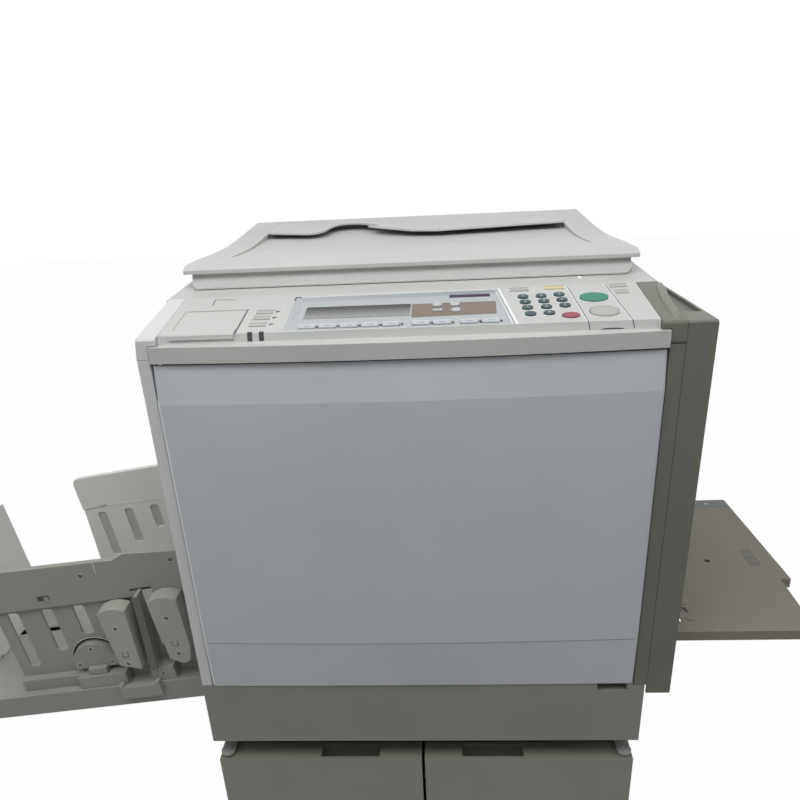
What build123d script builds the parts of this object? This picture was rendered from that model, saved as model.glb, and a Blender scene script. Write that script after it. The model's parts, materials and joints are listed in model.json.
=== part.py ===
from build123d import *
import math
import os

# Digital duplicator on its cabinet. All sizes are in millimetres.
# Machine coordinates: X to the right from the middle of the front door, Y back from the front plane,
# Z up from the floor. SHIFT moves them to the frame whose origin is on the floor under the middle of
# the whole set-up machine.
SHIFT = Vector(125.4, -337.5, 0)

# Overall sizes
M = 430                     # height of the machine's underside, which is the cabinet's top
LEFT = -303                 # outer faces of the side covers
RIGHT = 305
FEED_SIDE = 337             # outer face of the block on the feed side
DEPTH = 684                 # rear edge of the side covers
SKIN = 3                    # wall of the plastic covers
DECK = M + 610              # top of the scanner
SEAM = M + 572              # seam between lower and upper side covers
DOOR_HALF = 287             # half width of the front door and of the panel's band
DOOR_BOTTOM = M + 99
DOOR_TOP = M + 566
DOOR_BACK = 24
FINGER_NOTCH = (240, 280)   # in the lower cover's top edge, to pull the door open
LEDGE = M + 588             # ledge in front of the operation panel
GAP = 0.5                   # usual gap between neighbouring covers

# Operation panel: a plane that rises to the back from its front crease
PANEL_HALF = 277.5
PANEL_TILT = 6.54
PANEL_LENGTH = 119
CREASE_Y = 7
CREASE_Z = M + 598.2
PANEL_REAR_Y = CREASE_Y + PANEL_LENGTH * math.cos(math.radians(PANEL_TILT))
PANEL = Pos(0, CREASE_Y, CREASE_Z) * Rot(PANEL_TILT, 0, 0)
KEY_GAP = 0.4

# Paper path, drum and rollers
PAPER_Y = 212               # middle of the paper, from the front plane
FRONT_PLATE_Y = 44
REAR_PLATE_Y = 585
PLATE = 3
DRUM_X = -10
DRUM_Z = M + 360
DRUM_R = 90
HUB_R = 20
PRESS_R = 30
GEAR_GAP = 0.4
MODULE = 2
DRUM_TEETH = 90
PRESS_TEETH = 30
MOTOR_TEETH = 18
PRESS_Z = DRUM_Z - DRUM_R - PRESS_R - GEAR_GAP
MOTOR_X = DRUM_X + MODULE * (DRUM_TEETH + MOTOR_TEETH) / 2 + GEAR_GAP
GEAR_Y = 594
GEAR_WIDTH = 12
FEED_ROLLER_X = 150
FEED_ROLLER_Z = M + 222
FEED_ROLLER_R = 22
ROLL_X = 185
ROLL_Z = M + 505
RUNNING = 0.06              # radial clearance of shafts in their bores

# Feed side
FEED_BLOCK_LOW = M + 80
RIGHT_STRIP_LOW = M + 94
FEED_TOP = M + 156
FEED_TRAY = (345, 533, 33, 390)
FEED_PIVOT = (352, M + 145)
FEED_KEY_X = 216
FEED_FENCE_OUT = 146           # outer edges of the feed fences, from the paper's middle

# Delivery table: its own frame has X along the table (minus is outward), Z square to it
TABLE_TILT = -7.5
TABLE = Pos(LEFT, 0, M + 75) * Rot(0, TABLE_TILT, 0)
TABLE_LENGTH = 500
TABLE_EDGES = (46, 378)
FENCE_OUT = 147             # from the paper's middle to the fences' outer faces
TABLE_GRIP = (-142, -80)    # bracket on the table's front edge
GEAR_COVER = (-175, 36)     # middle of the half-round cover on each fence
END_PLATE_X = -389
FENCE_KEYS = (-236, -35)

# Cabinet
CAB_HALF = 297
CAB_FRONT = 35.5
CAB_REAR = 640
CAB_FLOOR = 32
CAB_WALL = 16
CAB_BOARD = 18              # thickness of the laminated boards above and below
CAB_DOOR_TOP = M - 42
CAB_DOOR_BOTTOM = 48
CAB_DOOR_DEPTH = 32
CAB_DOOR_HALF = 299         # outer edge of a door from the middle
CAB_PIVOT = (288, 12)

# Scanner and platen cover
PLATEN_HALF = 297
PLATEN_FRONT = 187
PLATEN_REAR = 650
SKIRT_SIDE = 9              # the skirt's sides, inwards from the lid's edges
SKIRT_FOOT = 176
PLATEN_UNDER = M + 611
HINGE = (661, M + 617.8)
HINGE_R = 6
GLASS = (-217, 217, 250, 566)


def block(x0, x1, y0, y1, z0, z1):
    return Pos((x0 + x1) / 2, (y0 + y1) / 2, (z0 + z1) / 2) * Box(x1 - x0, y1 - y0, z1 - z0)


def polygon(points):
    return Face(Wire.make_polygon([Vector(*p) for p in points], close=True))


def side_prism(points, x0, x1):
    """A prism along X from an outline of (y, z) points."""
    return extrude(polygon([(x0, y, z) for y, z in points]), amount=x1 - x0, dir=(1, 0, 0))


def front_prism(points, y0, y1):
    """A prism along Y from an outline of (x, z) points."""
    return extrude(polygon([(x, y0, z) for x, z in points]), amount=y1 - y0, dir=(0, 1, 0))


def plan_prism(points, z0, z1):
    """A prism along Z from an outline of (x, y) points."""
    return extrude(polygon([(x, y, z0) for x, y in points]), amount=z1 - z0, dir=(0, 0, 1))


def rod_x(x0, x1, y, z, r):
    return Pos((x0 + x1) / 2, y, z) * Rot(0, 90, 0) * Cylinder(r, x1 - x0)


def rod_y(x, y0, y1, z, r):
    return Pos(x, (y0 + y1) / 2, z) * Rot(90, 0, 0) * Cylinder(r, y1 - y0)


def rod_z(x, y, z0, z1, r):
    return Pos(x, y, (z0 + z1) / 2) * Cylinder(r, z1 - z0)


def oval(x, y, z0, z1, wide, deep):
    """An upright elliptic prism, width and depth across its middle."""
    face = Pos(x, y, z0) * Ellipse(wide / 2, deep / 2)
    return extrude(face, amount=z1 - z0, dir=(0, 0, 1))


def pill(x, y, z0, z1, wide, deep):
    """An upright prism with round ends."""
    face = Pos(x, y, z0) * RectangleRounded(wide, deep, deep * 0.45)
    return extrude(face, amount=z1 - z0, dir=(0, 0, 1))


def group(shapes):
    solids = []
    for shape in shapes:
        solids += list(shape.solids())
    return Compound(solids)


def panel_surface(y):
    """Height of the operation panel's plane at a distance from the front plane."""
    return CREASE_Z + (y - CREASE_Y) * math.tan(math.radians(PANEL_TILT))


# Cabinet

def cabinet_body():
    """Boards glued along fine joints: floor, two sides, back, top and cross rail; pegs for the shelf."""
    joint = 0.1
    low, high = CAB_FLOOR + CAB_BOARD, M - CAB_BOARD
    step = 60
    side = [(CAB_FRONT, low), (CAB_REAR, low), (CAB_REAR, high), (step, high), (step, M - 38),
            (CAB_FRONT, M - 38)]
    inner = CAB_HALF - CAB_WALL
    boards = [block(-CAB_HALF, CAB_HALF, CAB_FRONT, CAB_REAR, CAB_FLOOR, low - joint),
              side_prism(side, -CAB_HALF, -inner), side_prism(side, inner, CAB_HALF),
              block(-inner + joint, inner - joint, CAB_REAR - 10, CAB_REAR, low, high),
              block(-CAB_HALF, CAB_HALF, step, CAB_REAR, high + joint, M),
              block(-inner + joint, inner - joint, step, step + CAB_BOARD, M - 52, high)]
    for y in (130, 560):
        peg = rod_x(inner - 12, inner - joint, y, 236, 4)
        boards += [peg, mirror(peg, Plane.YZ)]
    return group(boards)


def cabinet_shelf():
    return block(-280, 280, 95, 625, 240.2, 256)


def cabinet_door(sign):
    """A pan door with a grip pocket in its top edge and a bored boss at each pivot; sign -1 is the left."""
    wall = 2
    x0, x1 = 2.2, CAB_DOOR_HALF
    depth = CAB_DOOR_DEPTH
    door = block(x0, x1, 0, depth, CAB_DOOR_BOTTOM, CAB_DOOR_TOP)
    door -= block(x0 + wall, x1 - wall, wall, depth + 1, CAB_DOOR_BOTTOM + wall, CAB_DOOR_TOP - wall)
    grip = (57, 145) if sign > 0 else (64, 150)
    door += block(grip[0] - wall, grip[1] + wall, 0, depth, CAB_DOOR_TOP - 26, CAB_DOOR_TOP)
    door -= block(grip[0], grip[1], 5, depth - 5, CAB_DOOR_TOP - 23, CAB_DOOR_TOP + 1)
    for z0 in (CAB_DOOR_BOTTOM, CAB_DOOR_TOP - 16):
        door += block(CAB_PIVOT[0] - 12, x1 - 1, 1, 22, z0, z0 + 16)
    door -= rod_z(*CAB_PIVOT, CAB_DOOR_BOTTOM - 1, CAB_DOOR_BOTTOM + 12, 3 + RUNNING)
    door -= rod_z(*CAB_PIVOT, CAB_DOOR_TOP - 13, CAB_DOOR_TOP + 1, 3 + RUNNING)
    return door if sign > 0 else mirror(door, Plane.YZ)


def cabinet_hinges():
    pieces = []
    x, y = CAB_PIVOT
    top = block(x - 12, CAB_HALF, CAB_FRONT, 58, M - 38, M - 34.5)
    top += rod_z(x, y, M - 38, M - 34.5, 10) + block(x - 10, x + 9, y, CAB_FRONT, M - 38, M - 34.5)
    top += rod_z(x, y, CAB_DOOR_TOP - 12, M - 37, 3) + rod_z(x, y, M - 34.6, M - 33, 5)
    low = block(x - 12, CAB_HALF, CAB_FRONT, 60, CAB_FLOOR - 3, CAB_FLOOR)
    low += block(x - 12, CAB_HALF, CAB_FRONT - 4, CAB_FRONT, CAB_FLOOR - 3, CAB_DOOR_BOTTOM - 3)
    low += block(x - 12, x + 8, 2, CAB_FRONT, CAB_DOOR_BOTTOM - 6, CAB_DOOR_BOTTOM - 3)
    low += rod_z(x, y, CAB_DOOR_BOTTOM - 4, CAB_DOOR_BOTTOM + 11, 3)
    for piece in (top, low):
        pieces.append(piece)
        pieces.append(mirror(piece, Plane.YZ))
    return group(pieces)


def levelling_feet():
    feet = []
    for x in (-262, 262):
        for y in (70, 590):
            feet.append(rod_z(x, y, 0, 9, 24) + rod_z(x, y, 9, 20, 11) + rod_z(x, y, 20, CAB_FLOOR, 6))
    return group(feet)


# Machine frame and covers

def base_frame():
    """Bottom pan with turned-up edges, on four pads."""
    pan = block(-292, 292, 14, 680, M + 8, M + 40) - block(-290, 290, 16, 678, M + 10, M + 41)
    for x in (-250, 250):
        for y in (70, 600):
            pan += rod_z(x, y, M, M + 9, 20)
    return pan


def front_frame_plate():
    y0, y1 = FRONT_PLATE_Y, FRONT_PLATE_Y + PLATE
    plate = block(-284, 284, y0, y1, M + 10, M + 562)
    plate -= rod_y(DRUM_X, y0 - 1, y1 + 1, DRUM_Z, DRUM_R + 7)
    plate -= block(-272, -127, y0 - 1, y1 + 1, M + 428, M + 556)
    plate -= block(97, 273, y0 - 1, y1 + 1, M + 438, M + 556)
    plate -= rod_y(DRUM_X, y0 - 1, y1 + 1, PRESS_Z, 8 + RUNNING)
    plate -= rod_y(FEED_ROLLER_X, y0 - 1, y1 + 1, FEED_ROLLER_Z, 5 + RUNNING)
    return plate


def rear_frame_plate():
    y0, y1 = REAR_PLATE_Y, REAR_PLATE_Y + PLATE
    plate = block(-284, 284, y0, y1, M + 10, M + 562)
    plate -= rod_y(DRUM_X, y0 - 1, y1 + 1, DRUM_Z, HUB_R + RUNNING)
    plate -= rod_y(DRUM_X, y0 - 1, y1 + 1, PRESS_Z, 8 + RUNNING)
    plate -= rod_y(FEED_ROLLER_X, y0 - 1, y1 + 1, FEED_ROLLER_Z, 5 + RUNNING)
    return plate


def tie_bars():
    places = ((-268, M + 30), (268, M + 30), (-55, M + 540), (45, M + 540))
    return group([rod_y(x, FRONT_PLATE_Y + PLATE, REAR_PLATE_Y, z, 8) for x, z in places])


def lower_front_cover():
    top, skirt = DOOR_BOTTOM - 1.5, M - 6
    outline = [(0, skirt), (50, skirt), (57, M + 1), (80, M + 1), (80, top), (0, top)]
    cover = side_prism(outline, LEFT, RIGHT - 2)
    cover -= block(LEFT + SKIN, RIGHT - 2 - SKIN, SKIN, 81, skirt - 1, top - SKIN)
    cover -= block(LEFT + SKIN, RIGHT - 2 - SKIN, 40, 81, top - SKIN - 1, top + 1)
    x0, x1 = FINGER_NOTCH
    cover += block(x0 - SKIN, x1 + SKIN, 0, 18, top - 16, top)
    cover -= block(x0, x1, -1, 15, top - 13, top + 1)
    return cover - block(DOOR_HALF + 0.3, RIGHT, -1, SKIN + 0.5, RIGHT_STRIP_LOW - GAP, top + 1)


def side_cover(x_out, x_in, front_in, strip_low, opening):
    """A side cover: outer wall, front strip beside the door with its return, window to the paper path."""
    low = DOOR_BOTTOM - 1
    outline = [(0, low), (80.5, low), (80.5, M + 4), (DEPTH, M + 4), (DEPTH, SEAM), (0, SEAM)]
    cover = side_prism(outline, min(x_out, x_in), max(x_out, x_in))
    cover += block(min(x_out, front_in), max(x_out, front_in), 0, SKIN, strip_low, SEAM)
    inward = -1 if x_out > 0 else 1
    ret = sorted((front_in, front_in - inward * SKIN))
    cover += block(ret[0], ret[1], 0, 38, low, SEAM)
    y0, y1, z0, z1 = opening
    cover -= block(min(x_out, x_in) - 1, max(x_out, x_in) + 1, y0, y1, z0, z1)
    return cover


def left_side_cover():
    return side_cover(LEFT, LEFT + SKIN, -DOOR_HALF - 1.5, DOOR_BOTTOM - 1, (58, 366, M + 50, M + 290))


def right_side_cover():
    return side_cover(RIGHT, RIGHT - SKIN, DOOR_HALF + 0.8, RIGHT_STRIP_LOW, (36, 390, M + 98, M + 235))


def top_cover(x_out, x_panel, x_band, wall=SKIN):
    """The upper side cover, flush with the operation panel, stepped round the panel's band."""
    z0 = SEAM + GAP
    rear = PANEL_REAR_Y
    outline = [(0, z0), (0, M + 595), (2, panel_surface(2)), (rear, panel_surface(rear)), (rear, z0)]
    inside = [(SKIN, z0 - 1), (SKIN, M + 594), (rear + 1, panel_surface(rear) - SKIN), (rear + 1, z0 - 1)]
    skin = SKIN if x_out < 0 else -SKIN
    cover = side_prism(outline, *sorted((x_out, x_panel)))
    cover -= block(*sorted((x_band, 0)), -1, rear + 1, z0 - 1, LEDGE + 0.8)
    outer = wall if x_out < 0 else -wall
    return cover - side_prism(inside, *sorted((x_out + outer, x_band - skin)))


def left_top_cover():
    """Like the right one, but its outer face leans in towards the top and its wall is thicker at the foot."""
    low, high, lean = SEAM + GAP, M + 612, 4.5
    cover = top_cover(LEFT, -PANEL_HALF - GAP, -DOOR_HALF - 1.5, SKIN + lean)
    wedge = Polyline((LEFT, -1, low + 1), (LEFT + lean, -1, high), (LEFT - 1, -1, high),
                     (LEFT - 1, -1, low + 1), (LEFT, -1, low + 1))
    return cover - extrude(make_face(wedge), amount=PANEL_REAR_Y + 2, dir=(0, 1, 0))


def right_top_cover():
    return top_cover(RIGHT, PANEL_HALF + GAP, DOOR_HALF + 0.8)


def feed_side_cover():
    """The block on the feed side: its top falls to the back and is sunk between its edges."""
    x0 = RIGHT + 0.1
    low, bend, rear = FEED_BLOCK_LOW, (240, M + 585), M + 582
    outline = [(0, low), (DEPTH, low), (DEPTH, rear), bend, (2, M + 597), (0, M + 595)]
    inside = [(SKIN, low - 1), (DEPTH - SKIN, low - 1), (DEPTH - SKIN, rear - SKIN),
              (bend[0], bend[1] - SKIN), (SKIN, M + 594)]
    cover = side_prism(outline, x0, FEED_SIDE) - side_prism(inside, x0 - 1, FEED_SIDE - SKIN)
    cover += side_prism([(38, M + 584), (246, M + 574), (246, M + 583), (38, M + 593)], x0, FEED_SIDE - 1)
    recess = [(46, M + 589.8), (236, M + 580.2), (236, M + 600), (46, M + 600)]
    cover -= side_prism(recess, x0 + 1.5, FEED_SIDE - 4)
    return cover - block(FEED_SIDE - SKIN - 1, FEED_SIDE + 1, 38, 388, M + 98, M + 235)


def rear_cover():
    cover = block(LEFT, FEED_SIDE, DEPTH + GAP, DEPTH + GAP + SKIN, M + 4, DECK - 1)
    cover -= block(RIGHT, FEED_SIDE + 1, DEPTH, DEPTH + 5, M + 582, DECK)
    for row in range(2):
        for i in range(12):
            x = -200 + i * 14
            z = M + 330 + row * 70
            cover -= block(x, x + 5, DEPTH, DEPTH + 5, z, z + 56)
    cover -= block(-251, -209, DEPTH, DEPTH + 5, M + 59, M + 91)
    return cover


def power_inlet():
    """Mains inlet: a frame in the rear cover round a socket with three blades."""
    y1 = DEPTH + GAP + SKIN
    inlet = block(-256, -204, y1, y1 + 2, M + 54, M + 96)
    inlet += block(-250.5, -209.5, y1 - 30, y1, M + 59.5, M + 90.5)
    inlet -= block(-244, -216, y1 - 20, y1 + 3, M + 64, M + 86)
    for x, z in ((-237, 72), (-223, 72), (-230, 78)):
        inlet += block(x - 1, x + 1, y1 - 21, y1 - 5, M + z - 3, M + z + 3)
    return inlet


# Front door

def door_section(z, front, bow, side, back):
    """One level outline of the door: square at the back, rounded front corners and a bowed front."""
    corner = side - 5
    s = 5 * math.sqrt(0.5)
    edges = [
        Line((-side, back, z), (-side, front + 5, z)),
        ThreePointArc((-side, front + 5, z), (-corner - s, front + 5 - s, z), (-corner, front, z)),
        ThreePointArc((-corner, front, z), (0, front - bow, z), (corner, front, z)),
        ThreePointArc((corner, front, z), (corner + s, front + 5 - s, z), (side, front + 5, z)),
        Line((side, front + 5, z), (side, back, z)),
        Line((side, back, z), (-side, back, z)),
    ]
    return Wire([e.edges()[0] if not isinstance(e, Edge) else e for e in edges])


def door_shape(inset, back):
    """The door's body through its four levels: bottom, lower crease, upper crease and top."""
    levels = ((DOOR_BOTTOM + inset, -1.5, 1), (M + 176, -4.5, 5), (M + 520, -4.5, 10),
              (DOOR_TOP - inset, 0.5, 8))
    wires = [door_section(z, front + inset, bow, DOOR_HALF - inset, back) for z, front, bow in levels]
    return Solid.make_loft(wires, ruled=True)


DOOR_PIVOT = (-DOOR_HALF + 9, 4)


def front_door():
    """A shell open at the back, with ribs inside and bored pivot bosses at the left."""
    door = door_shape(0, DOOR_BACK) - door_shape(SKIN, DOOR_BACK + 1)
    x, y = DOOR_PIVOT
    for z0, root in ((DOOR_BOTTOM + 2, -0.5), (DOOR_TOP - 16, 1)):
        door += block(x - 3, x + 9, root, y + 9, z0, z0 + 14)
    door -= rod_z(x, y, DOOR_BOTTOM - 1, DOOR_BOTTOM + 12, 2.4 + RUNNING)
    door -= rod_z(x, y, DOOR_TOP - 12, DOOR_TOP + 1, 2.4 + RUNNING)
    for x0 in (-150, 0, 150):
        door += block(x0 - 1.2, x0 + 1.2, -4, 18, DOOR_BOTTOM + 2, M + 540)
    return door


def door_hinge_pins():
    """Lower pin standing on the lower cover and upper pin hanging from the panel's band, on one axis."""
    x, y = DOOR_PIVOT
    low = rod_z(x, y, DOOR_BOTTOM - 1.5, DOOR_BOTTOM + 11, 2.4)
    high = block(x - 1, x + 12, y - 0.5, y + 12, M + 569, M + 585) + rod_z(x, y, DOOR_TOP - 11, M + 569, 2.4)
    return group([low, high])


# Operation panel, drawn flat in its own frame: X across, Y up the slope from the crease, Z off the surface

NUMBER_COLUMNS = (138.9, 160.3, 181.5)
NUMBER_RISE = (0, 0.8, 3.2)   # the columns' shift up the slope
NUMBER_ROWS = ((79.8, -0.8), (62.4, 0), (44.6, 0.7))     # up the slope, and the row's shift along X
NUMBER_LAST_ROW = ((140.8, 25.8), (161.9, 26.9))
NUMBER_SIZE = (13, 12)
CLEAR_KEY = (184.3, 18.8, 19.5, 14.5)
START_KEY = (218.8, 70, 33, 27)
PROOF_KEY = (222.1, 26.3, 34, 30)
PROGRAM_KEY = (178.3, 108.1, 23, 8.6)
FUNCTION_KEYS = ((136.2, 105.9, 22, 8.6), (253.7, 107.4, 20, 8.6), (254.3, 86.3, 15, 8.6),
                 (-165.8, 61.4, 20, 8.6), (-166.5, 43, 20, 8.6), (-167, 22.6, 20, 8.6))
DISPLAY_TOP = ((-135, 4.3), (123, 1.1), (110.9, 111.4), (-135.3, 107))
DISPLAY_FLOOR = ((-125.2, 6.7), (120.1, 3.5), (108.9, 108.3), (-124.7, 102.8))
DISPLAY_DEPTH = 4
DISPLAY_WINDOW = (-119, 6, 45.4, 82.2)
SOFT_KEYS = (-111, -87.3, -63, -39.2, -15.5, 18.2, 42, 72, 95.9)
SOFT_KEY_V = 20
SOFT_KEY_SIZE = (19.3, 9.6)
SOFT_KEY_TOP = -2.2
ARROW_KEYS = ((37, 75, 11, 10.8), (57.9, 74.5, 11, 10.8), (37.3, 57.7, 12, 5.4), (58.6, 56.6, 11, 10.8))
FLAP = (-264.5, -189.6, 8.6, 72.2)
FLAP_LIP = ((13, -2.4), (9.4, -2.4), (9.4, 0.6), (-0.6, 0.7), (-2.7, -4.7),
            (-4.1, -4.3), (-2.6, 0.4), (-0.4, 1.8), (13, 1.3))


def number_places():
    columns = list(zip(NUMBER_COLUMNS, NUMBER_RISE))
    places = [(x + shift, v + rise) for v, shift in NUMBER_ROWS for x, rise in columns]
    return places + list(NUMBER_LAST_ROW)


def oval_key(x, v, wide, deep, height=1.4):
    """A key cap that stands proud of the panel, with a retaining flange under it."""
    return oval(x, v, -5, height, wide, deep) + oval(x, v, -6.2, -4.6, wide + 3, deep + 3)


def bar_key(x, v, wide, deep, height=0.8):
    cap = block(x - wide / 2, x + wide / 2, v - deep / 2, v + deep / 2, -5, height)
    return cap + pill(x, v, -6.2, -4.6, wide + 3, deep + 3)


def panel_housing():
    """Band, ledge, front strip and sloping top, hollow underneath, with openings for keys and display."""
    band = [Line((-DOOR_HALF, 30), (-DOOR_HALF, -3)),
            ThreePointArc((-DOOR_HALF, -3), (0, -13), (DOOR_HALF, -3)),
            Line((DOOR_HALF, -3), (DOOR_HALF, 30)), Line((DOOR_HALF, 30), (-DOOR_HALF, 30))]
    band_face = make_face(band)
    half = DOOR_HALF - SKIN
    inner = [Line((-half, 31), (-half, 0)), ThreePointArc((-half, 0), (0, -10), (half, 0)),
             Line((half, 0), (half, 31)), Line((half, 31), (-half, 31))]
    housing = extrude(Pos(0, 0, M + 569) * band_face, amount=LEDGE - M - 569, dir=(0, 0, 1))
    rear = PANEL_REAR_Y
    top = [(3, LEDGE - 1), (4.5, LEDGE + 1), (CREASE_Y, CREASE_Z), (rear, panel_surface(rear)),
           (rear, LEDGE - 1)]
    under = [(8, LEDGE - 4), (8, LEDGE - 1), (CREASE_Y + 3.5, CREASE_Z - SKIN),
             (rear - SKIN, panel_surface(rear) - SKIN - 0.5), (rear - SKIN, LEDGE - 4)]
    housing += side_prism(top, -PANEL_HALF, PANEL_HALF)
    housing -= extrude(Pos(0, 0, M + 568) * make_face(inner), amount=LEDGE - M - 571, dir=(0, 0, 1))
    housing -= side_prism(under, -PANEL_HALF + SKIN, PANEL_HALF - SKIN)
    x0, x1, v0, v1 = FLAP
    housing += PANEL * block(x0 - 4, x1 + 4, v0 - 2, v1 + 3, -8, -2)
    housing -= PANEL * block(x0, x1, v0, v1, -6, 1)
    housing -= PANEL * rod_x(x0 - 3, x1 + 3, v1 - 3, -1.6, 1.2 + RUNNING)
    housing -= PANEL * plan_prism(DISPLAY_TOP, -9, 1)
    for x, v in number_places():
        housing -= PANEL * oval(x, v, -9, 1, NUMBER_SIZE[0] + 2 * KEY_GAP, NUMBER_SIZE[1] + 2 * KEY_GAP)
    for x, v, wide, deep in (CLEAR_KEY, START_KEY, PROOF_KEY):
        housing -= PANEL * oval(x, v, -9, 1, wide + 2 * KEY_GAP, deep + 2 * KEY_GAP)
    for x, v, wide, deep in (PROGRAM_KEY, *FUNCTION_KEYS):
        half_x, half_v = wide / 2 + KEY_GAP, deep / 2 + KEY_GAP
        housing -= PANEL * block(x - half_x, x + half_x, v - half_v, v + half_v, -9, 1)
    return housing


def display_key_hole(x, v, wide, deep):
    return pill(x, v, -10, 0, wide + 2 * KEY_GAP, deep + 2 * KEY_GAP)


def display_bezel():
    """Sloping frame round the display and the floor that carries it."""
    gap = 0.2
    outer = [(x + (gap if x < 0 else -gap), v + (gap if v < 50 else -gap)) for x, v in DISPLAY_TOP]
    bezel = plan_prism(outer, -9, 0)
    rim = [Vector(x * 0.985, (v - 55) * 0.97 + 55, 0.01) for x, v in DISPLAY_TOP]
    floor = [Vector(x, v, -DISPLAY_DEPTH) for x, v in DISPLAY_FLOOR]
    bezel -= Solid.make_loft([Wire.make_polygon(rim), Wire.make_polygon(floor)], ruled=True)
    wide, deep = SOFT_KEY_SIZE
    low, high = SOFT_KEY_V - deep / 2 - KEY_GAP, SOFT_KEY_V + deep / 2 + KEY_GAP
    for x in SOFT_KEYS:
        bezel -= block(x - wide / 2 - KEY_GAP, x + wide / 2 + KEY_GAP, low, high, -10, 0)
    for key in ARROW_KEYS:
        bezel -= display_key_hole(*key)
    return PANEL * bezel


def display_window():
    return PANEL * block(*DISPLAY_WINDOW, -DISPLAY_DEPTH, -DISPLAY_DEPTH + 0.6)


def soft_keys():
    wide, deep = SOFT_KEY_SIZE
    low, high = SOFT_KEY_V - deep / 2, SOFT_KEY_V + deep / 2
    keys = [block(x - wide / 2, x + wide / 2, low, high, -10, SOFT_KEY_TOP) for x in SOFT_KEYS]
    keys += [pill(x, v, -10, SOFT_KEY_TOP, wide, deep) for x, v, wide, deep in ARROW_KEYS]
    return PANEL * group(keys)


def panel_flap():
    """Lid of the small compartment, hung on two stub pins at its rear edge."""
    x0, x1, v0, v1 = FLAP
    flap = block(x0 + 0.5, x1 - 0.5, v0 + 0.5, v1 - 1, -2.6, -0.2)
    flap += side_prism(FLAP_LIP, x0 + 0.5, x1 - 0.5)
    flap += rod_x(x0 - 2, x1 + 2, v1 - 3, -1.6, 1.2)
    return PANEL * flap


def number_keys():
    return PANEL * group([oval_key(x, v, *NUMBER_SIZE, height=2.2) for x, v in number_places()])


def function_keys():
    return PANEL * group([bar_key(*key) for key in FUNCTION_KEYS])


def program_key():
    return PANEL * bar_key(*PROGRAM_KEY)


def clear_key():
    return PANEL * oval_key(*CLEAR_KEY)


def start_key():
    return PANEL * oval_key(*START_KEY, height=2)


def proof_key():
    return PANEL * oval_key(*PROOF_KEY, height=1.6)


# Scanner and platen cover

def scanner_housing():
    """Deck with the glass opening, its side walls and two ledges that carry the scan carriage."""
    front = PANEL_REAR_Y + 0.5
    housing = block(LEFT, RIGHT, front, DEPTH, SEAM + GAP, DECK)
    housing -= block(LEFT + SKIN, RIGHT - SKIN, front + SKIN, DEPTH - SKIN, SEAM, DECK - 8)
    x0, x1, y0, y1 = GLASS
    housing -= block(x0 - 0.3, x1 + 0.3, y0 - 0.3, y1 + 0.3, DECK - 4, DECK + 1)
    housing -= block(x0 + 10, x1 - 10, y0 + 10, y1 - 10, DECK - 9, DECK)
    for y in (205, 605):
        housing += block(LEFT + SKIN, RIGHT - SKIN, y - 8, y + 8, DECK - 34, DECK - 28)
    return housing


def exposure_glass():
    x0, x1, y0, y1 = GLASS
    return block(x0, x1, y0, y1, DECK - 4, DECK)


def scan_carriage():
    """Lamp and mirror carriage across the scanner, on the two ledges."""
    carriage = block(-272, -222, 198, 612, DECK - 27.6, DECK - 12)
    carriage -= block(-266, -228, 206, 604, DECK - 24, DECK - 11)
    carriage += rod_y(-256, 205, 605, DECK - 17, 4)
    mirror = [(206, DECK - 24), (604, DECK - 24), (604, DECK - 14), (206, DECK - 14)]
    carriage += side_prism(mirror, -240, -237)
    return carriage


PLATEN_TOP = ((PLATEN_FRONT, M + 634), (196, M + 637.5), (220, M + 637.6), (250, M + 635.8), (300, M + 632),
              (380, M + 626.2), (430, M + 624.5), (540, M + 625.2), (PLATEN_REAR, M + 627.5))
POCKET_HALF = 253
POCKET = (275, 522, 633)
POCKET_FLOOR = M + 616.5


def platen_cover():
    """Shallow dished cover with an overhanging lip, a sunk pocket towards the rear and two hinge arms."""
    lip = PLATEN_FRONT
    x0 = -PLATEN_HALF
    top = [Vector(x0, y, z) for y, z in PLATEN_TOP]
    under = ((PLATEN_REAR, M + 618), (430, M + 616), (210, M + 629), (lip, M + 629))
    low = [Vector(x0, y, z) for y, z in under]
    section = [Spline(top), Polyline(top[-1], *low, top[0])]
    cover = extrude(make_face(section), amount=2 * PLATEN_HALF, dir=(1, 0, 0))
    foot = SKIRT_FOOT
    half = PLATEN_HALF - SKIRT_SIDE
    skirt = [ThreePointArc((-half, lip + 9, M + 629.5), (-half, lip + 3, M + 618), (-half, foot, M + 613)),
             Polyline((-half, foot, M + 613), (-half, foot, PLATEN_UNDER), (-half, 640, PLATEN_UNDER),
                      (-half, 640, M + 624), (-half, 430, M + 620), (-half, 300, M + 629),
                      (-half, 220, M + 632), (-half, lip + 9, M + 632), (-half, lip + 9, M + 629.5))]
    cover += extrude(make_face(skirt), amount=2 * half, dir=(1, 0, 0))
    for sign in (-1, 1):
        outer, inner = sign * (half + 1), sign * (half - 9)
        corner = [(outer, foot - 1), (inner, foot - 1), (outer, foot + 15)]
        cover -= plan_prism(corner, PLATEN_UNDER - 1, M + 629)
    y0, y1, y2 = POCKET
    pocket = [(y0, M + 633.6), (y0 + 35, M + 629), (400, M + 621.5), (y1, POCKET_FLOOR), (y2, POCKET_FLOOR),
              (y2, M + 650), (y0, M + 650)]
    cover -= side_prism(pocket, -POCKET_HALF, POCKET_HALF)
    cover -= block(-half + 3, half - 3, lip + 15, 637, PLATEN_UNDER - 1, M + 614.5)
    hinge_y, hinge_z = HINGE
    for x in (-195, 195):
        cover += rod_x(x - 10, x + 10, hinge_y, hinge_z, HINGE_R)
        cover += block(x - 10, x + 10, 636, hinge_y, PLATEN_UNDER + 1, hinge_z + 4)
    cover -= rod_x(-300, 300, hinge_y, hinge_z, 4 + RUNNING)
    return cover


def platen_pad():
    return block(-222, 222, 245, 571, DECK + 1, M + 614.5)


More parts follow.
